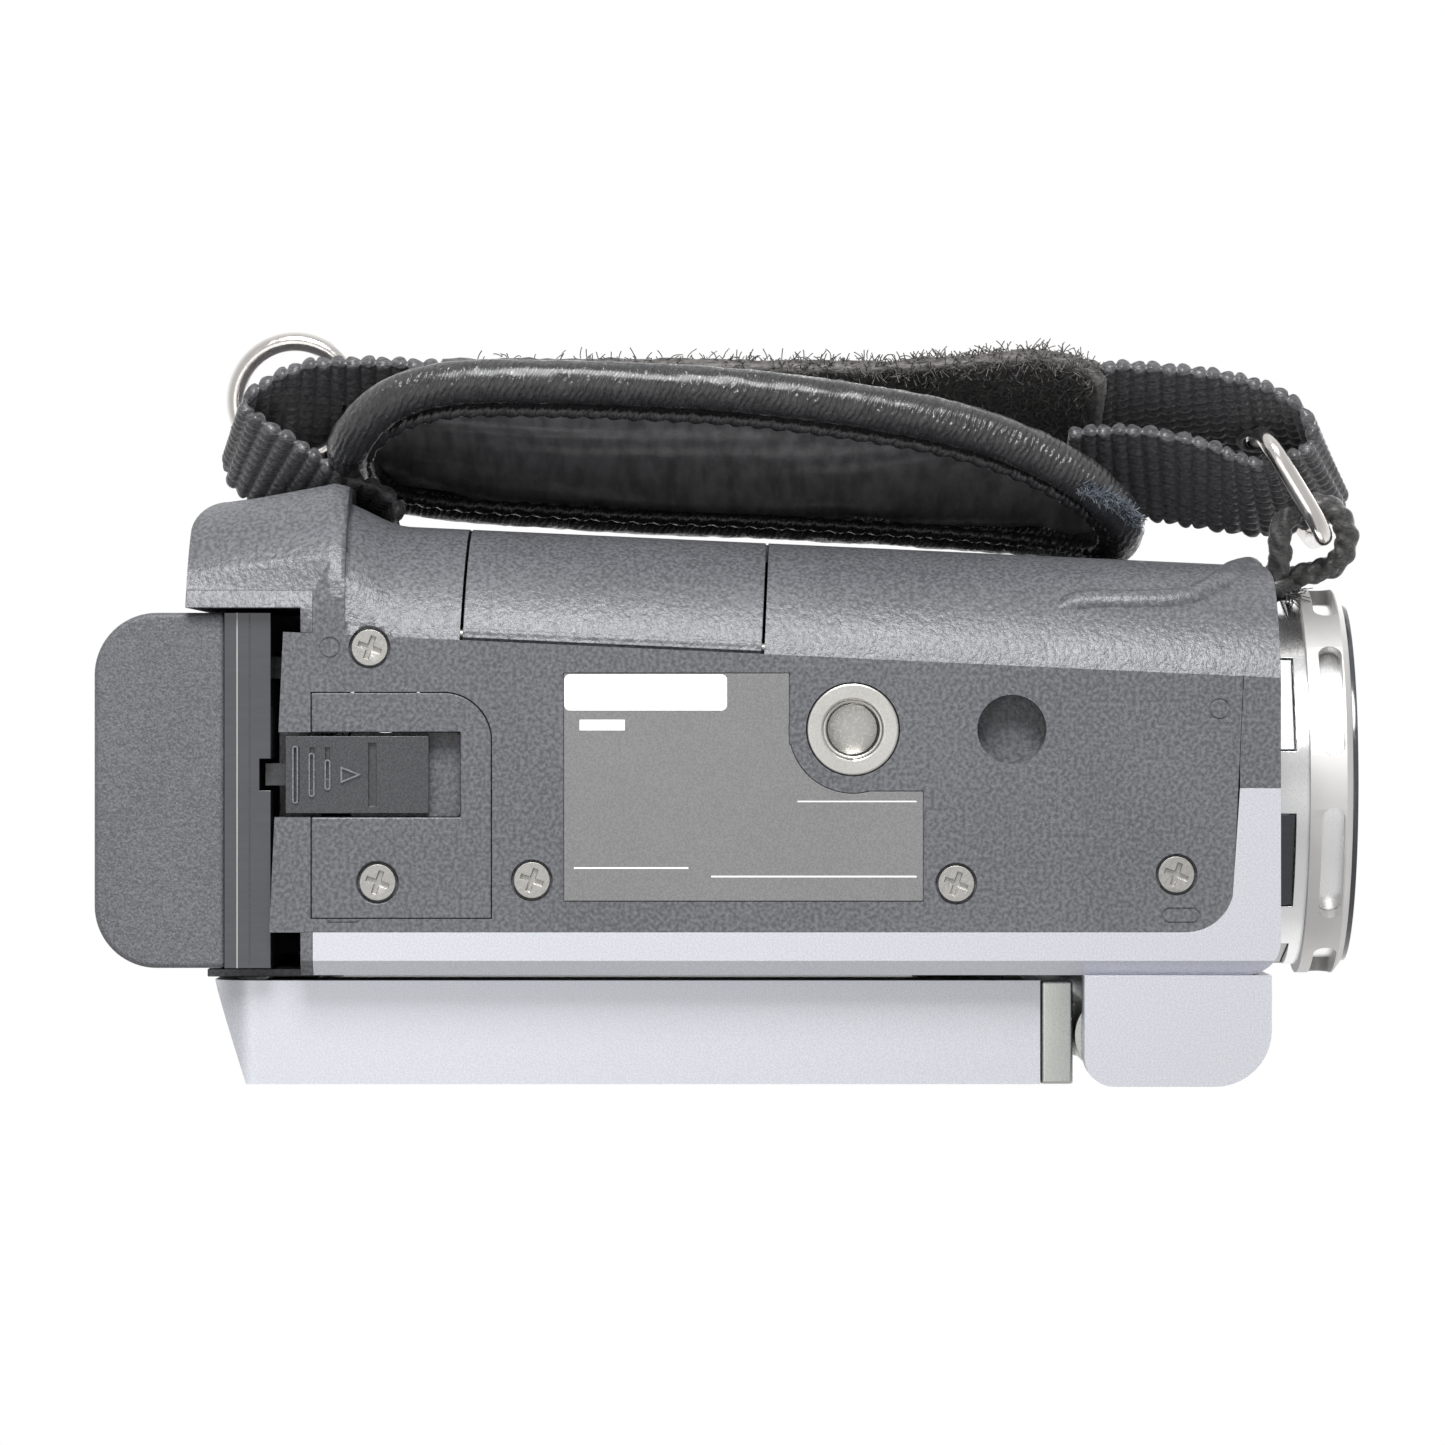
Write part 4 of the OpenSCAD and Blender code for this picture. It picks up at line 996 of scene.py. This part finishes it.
def fibre(points, faces, rng, start, out, length, width, curl=1.8):
    """One curled thread of pile, three-sided."""
    bend = scatter(rng) * curl
    p, way = start, (out + bend * 0.5).normalized()
    first = len(points)
    pieces = 4
    for i in range(pieces + 1):
        side = way.cross(Vector((0.3, 0.5, 0.8))).normalized()
        up = way.cross(side)
        for k in range(3):
            a = 2 * math.pi * k / 3
            points.append(p + (side * math.cos(a) + up * math.sin(a)) * width)
        p = p + way * (length / pieces)
        way = (way + bend * 0.55).normalized()
    for i in range(pieces):
        for k in range(3):
            m = (k + 1) % 3
            faces.append((first + 3 * i + k, first + 3 * i + m, first + 3 * i + 3 + m,
                          first + 3 * i + 3 + k))


PILE_THREADS = 9000
STRIP_HALF, STRIP_CELLS = 0.6, 10
FRAY_THREADS = 60


def outward(near, far, i):
    """The way out of a band at its i-th row."""
    before, after = beside(near, i)
    return (after - before).cross(far[i] - near[i]).normalized()


def hook_strip():
    """The loop strip outside the pad, with its pile."""
    rng = random.Random(4).random
    near = [(-33.2, 37), (-33.2, 22), (-33.1, 9), (-33.0, -2), (-33.5, -10), (-34.1, -17),
            (-33.0, -21.5), (-31.5, -23)]
    far = [(-26.8, 37), (-26.9, 22), (-27.0, 9), (-27.0, -2), (-26.9, -10), (-26.8, -17),
           (-26.2, -21.5), (-25.4, -23)]
    a, b = edge_pair(near, far, WEB_NEAR - 0.6, WEB_FAR, 0.8)
    rows = len(a)
    points = []
    for i in range(rows):
        out = outward(a, b, i)
        for side in (1, -1):
            for k in range(STRIP_CELLS + 1):
                base = a[i].lerp(b[i], k / STRIP_CELLS)
                rough = 0.25 * noise.noise(base * 0.9)
                points.append(base + out * side * (STRIP_HALF + rough))
    faces = band_faces(rows, STRIP_CELLS)
    for _ in range(PILE_THREADS):
        # More pile towards the front end and the lower edge, where it is worn
        i = int((rng() ** 0.45) * (rows - 1))
        t = rng() ** 1.3
        side = 1 if rng() < 0.5 else -1
        out = outward(a, b, i) * side
        out += scatter(rng) * 1.6
        edge = Vector((-0.3, 0, -1.0)) if t < 0.12 else Vector()
        start = a[i].lerp(b[i], t) + out * 0.45
        fibre(points, faces, rng, start, (out + edge).normalized(), 0.5 + 0.8 * rng(), 0.055, 3.4)
    put("hook_strip", mesh_from("hook_strip", points, faces), "fuzz", "camera",
        ["strap_hook_strip"])


def cord():
    """The braided loop that ties the link to the ear of the body, with its frayed ends."""
    loop = [(-12.6, -38.2, 25.6), (-13.6, -39.0, 24.6), (-15.6, -39.5, 22.6), (-18.4, -39.5, 21.6),
            (-20.3, -41.4, 21.2), (-20.1, -44.2, 21.6), (-17.6, -45.6, 22.6), (-15.2, -44.7, 23.6),
            (-14.3, -42.4, 24.4), (-13.7, -40.2, 25.6), (-12.6, -38.9, 26.6)]
    path = resample(curve_through(loop, 12), 0.22)

    def braid(distance, angle):
        return 0.82 + 0.36 * abs(math.sin(1.5 * angle + distance * 1.75)) * (
            0.7 + 0.3 * abs(math.sin(1.5 * angle - distance * 1.75)))

    put("cord_loop_braid", tube_mesh("cord_loop_braid", path, braid, 24), "cord", "camera",
        ["cord_loop"])
    knot = [Vector(p) for p in ((-12.9, -38.0, 24.4), (-13.2, -39.4, 24.0), (-13.0, -40.4, 25.2),
                                (-12.7, -39.6, 26.8), (-12.9, -38.4, 26.6))]
    put("cord_knot", tube_mesh("cord_knot", resample(curve_through(knot, 10), 0.22), braid, 20),
        "cord", "camera")
    rng = random.Random(9).random
    points, faces = [], []
    for _ in range(FRAY_THREADS):
        start = Vector((-13.2 + 0.9 * rng(), -40.6 + 0.8 * rng(), 23.6 + 1.2 * rng()))
        fibre(points, faces, rng, start, Vector((0.5, -1.0, -0.4)), 1.2 + 1.2 * rng(), 0.05)
    put("cord_fray", mesh_from("cord_fray", points, faces), "cord", "camera")


# Pad: stations from the rear end to the front end; lower edge, then upper edge
PAD_LOW = [(-25.0, 45.6, 14), (-28.6, 42.8, 10.5), (-30.9, 37.2, 9), (-31.1, 28, 8.6),
           (-30.8, 18.9, 8.4), (-30.1, 8, 8.4), (-28.0, -6.3, 8.8), (-25.9, -14.0, 9.6),
           (-23.4, -19.4, 11), (-20.8, -23.2, 13.4), (-18.4, -25.2, 18)]
PAD_HIGH = [(-23.6, 45.4, 34), (-22.6, 43.4, 39.5), (-21.6, 38, 42.4), (-20.9, 28, 43.2),
            (-20.3, 18.9, 43.4), (-19.9, 8, 43.2), (-19.1, -6.3, 42), (-18.5, -14.0, 40.4),
            (-17.9, -19.4, 37.6), (-17.3, -23.0, 33.4), (-17.0, -25.0, 27.5)]
PAD_INSET = 0.9
PAD_BOW = 1.6
PAD_VOXEL = 1.6
PAD_SWELL = 1.3
SLAB_CELLS, SLAB_HALF = 14, 0.9
INFLATE_FRAMES = 20
RIM_RADIUS = 1.95
PIPE_RADIUS = 0.62
ROUNDING_PASSES = 36


def pad_rim():
    """Lower and upper edge of the pad."""
    return curve_through(PAD_LOW, 10), curve_through(PAD_HIGH, 10)


def palm_side(across, low, i):
    """The way from the pad's i-th row towards the hand."""
    before, after = beside(low, i)
    face = across.cross((after - before).normalized()).normalized()
    return -face if face.x < 0 else face


def inset(low, high, amount, lift):
    """Curves inside the rim, moved amount inwards and lift towards the hand."""
    out_low, out_high = [], []
    for i, (a, b) in enumerate(zip(low, high)):
        across = (b - a).normalized()
        face = palm_side(across, low, i)
        ends = smoothstep(i / 6) * smoothstep((len(low) - 1 - i) / 6)
        shrink = amount * (0.55 + 0.45 * ends)
        out_low.append(a + across * shrink + face * lift)
        out_high.append(b - across * shrink + face * lift)
    return out_low, out_high


def pad_loop(low, high, trim):
    """A closed loop round the pad, without the first and last trim points of each curve."""
    last = len(low) - trim
    loop = resample(curve_through(
        [*low[trim:last:4], *reversed(high[trim:last:4])], 6, True), 0.5, True)
    for _ in range(ROUNDING_PASSES):
        loop = [(loop[i - 1] + p * 2 + loop[(i + 1) % len(loop)]) / 4 for i, p in enumerate(loop)]
    return resample(loop, 0.5, True)


def baked(obj):
    """A new mesh of the object with its modifiers in it."""
    depsgraph = bpy.context.evaluated_depsgraph_get()
    return bpy.data.meshes.new_from_object(obj.evaluated_get(depsgraph))


def slab_mesh(low, high):
    """A thin closed slab between the pad's edges, bowed away from the hand."""
    rows, line = len(low), SLAB_CELLS + 1
    sheet = rows * line
    points, faces = [], []
    for side in (1, -1):
        for i in range(rows):
            face = palm_side(high[i] - low[i], low, i)
            for k in range(line):
                bow = PAD_BOW * math.sin(math.pi * k / SLAB_CELLS)
                points.append(low[i].lerp(high[i], k / SLAB_CELLS) + face * (SLAB_HALF * side - bow))
    for i in range(rows - 1):
        for k in range(SLAB_CELLS):
            a = i * line + k
            faces.append((a, a + line, a + line + 1, a + 1))
            a += sheet
            faces.append((a, a + 1, a + line + 1, a + line))
    for low_side in range(0, (rows - 1) * line, line):
        high_side = low_side + SLAB_CELLS
        faces.append((low_side, low_side + sheet, low_side + sheet + line, low_side + line))
        faces.append((high_side + line, high_side + sheet + line, high_side + sheet, high_side))
    last = (rows - 1) * line
    faces += [(a, a + 1, a + sheet + 1, a + sheet) for a in range(SLAB_CELLS)]
    faces += [(a + sheet, a + sheet + 1, a + 1, a) for a in range(last, last + SLAB_CELLS)]
    mesh = mesh_from("pad_slab", points, faces)
    bm = bmesh.new()
    bm.from_mesh(mesh)
    bmesh.ops.recalc_face_normals(bm, faces=bm.faces)
    bm.to_mesh(mesh)
    bm.free()
    return mesh


def evenly_meshed(mesh):
    """The same closed shape with faces of one size, so that it swells evenly."""
    slab = linked("pad_slab", mesh)
    remesh = slab.modifiers.new("remesh", "REMESH")
    remesh.mode = "VOXEL"
    remesh.voxel_size = PAD_VOXEL * MM
    even = baked(slab)
    bpy.data.objects.remove(slab)
    return even


def pad_core():
    """The foam pad, blown up as cloth from a thin slab."""
    pad = linked("pad_core", evenly_meshed(slab_mesh(*inset(*pad_rim(), PAD_INSET, 0.0))))
    inflate(pad)
    smooth = pad.modifiers.new("smooth", "SMOOTH")
    smooth.factor, smooth.iterations = 0.5, 6
    rounder = pad.modifiers.new("rounder", "SUBSURF")
    rounder.levels = rounder.render_levels = 1
    final = baked(pad)
    bpy.data.objects.remove(pad)
    final.name = "pad_core"
    final.polygons.foreach_set("use_smooth", [True] * len(final.polygons))
    piece = put("pad_core", final, "leather", "camera", ["strap_pad"])
    # Faces turned towards the hand (+X), which lie in shade, get the paler panel leather: partly its
    # own finish, partly painted light
    final.materials.append(materials["panel"])
    for face in final.polygons:
        face.material_index = 1 if face.normal.x > 0.25 else 0


def inflate(pad):
    """Cloth under pressure with gravity off. Points move PAD_SWELL at most, and stay moved."""
    rest = [v.co.copy() for v in pad.data.vertices]
    cloth = pad.modifiers.new("cloth", "CLOTH")
    cloth.settings.use_pressure = True
    cloth.settings.uniform_pressure_force = 4.0
    cloth.settings.effector_weights.gravity = 0.0
    cloth.settings.tension_stiffness = 25
    cloth.settings.compression_stiffness = 25
    cloth.settings.shear_stiffness = 15
    cloth.settings.bending_stiffness = 1.5
    cloth.settings.quality = 5
    scene = bpy.context.scene
    for number in range(1, INFLATE_FRAMES + 1):
        scene.frame_set(number)
    blown = baked(pad)
    pad.modifiers.remove(cloth)
    for old, new, v in zip(rest, blown.vertices, pad.data.vertices):
        move = new.co - old
        if move.length > PAD_SWELL * MM:
            move = move.normalized() * PAD_SWELL * MM
        v.co = old + move
    bpy.data.meshes.remove(blown)
    scene.frame_set(1)


def pad_trim():
    """Rolled rim, twisted piping inside it, and the frayed seam at the front tip."""
    low, high = pad_rim()
    rim = pad_loop(low, high, 2)
    pipe = pad_loop(*inset(low, high, 3.6, 1.5), 3)

    def roll(distance, angle):
        fold = noise.noise(Vector((distance * 0.55, 3 * math.cos(angle), 3 * math.sin(angle))))
        crease = noise.noise(Vector((distance * 1.6 + 40, math.cos(angle), math.sin(angle))))
        return RIM_RADIUS + 0.12 * fold + 0.07 * crease

    put("pad_rim", tube_mesh("pad_rim", rim, roll, 28, True), "leather", "camera")

    def twisted(distance, angle):
        return PIPE_RADIUS + 0.13 * math.sin(2 * angle + distance * 3.4)

    put("pad_piping", tube_mesh("pad_piping", pipe, twisted, 16, True), "leather", "camera")
    rng = random.Random(2).random
    points, faces = [], []
    tip = [Vector(p) for p in ((-21.6, -20.6, 11.4), (-20.4, -23.6, 12.6), (-18.8, -25.6, 15.5))]
    seam = resample(curve_through(tip, 8), 0.25)
    for p in seam:
        for _ in range(14):
            start = p + Vector((rng() - 0.5, rng() - 0.5, -1.6 + 0.5 * rng()))
            fibre(points, faces, rng, start, Vector((rng() - 0.3, -0.6, -0.6)), 0.5 + 0.6 * rng(), 0.05)
    put("pad_fray", mesh_from("pad_fray", points, faces), "fray", "camera")


wire_pieces()
eyelet()
front_webbing()
rear_webbing()
hook_strip()
cord()
pad_core()
pad_trim()
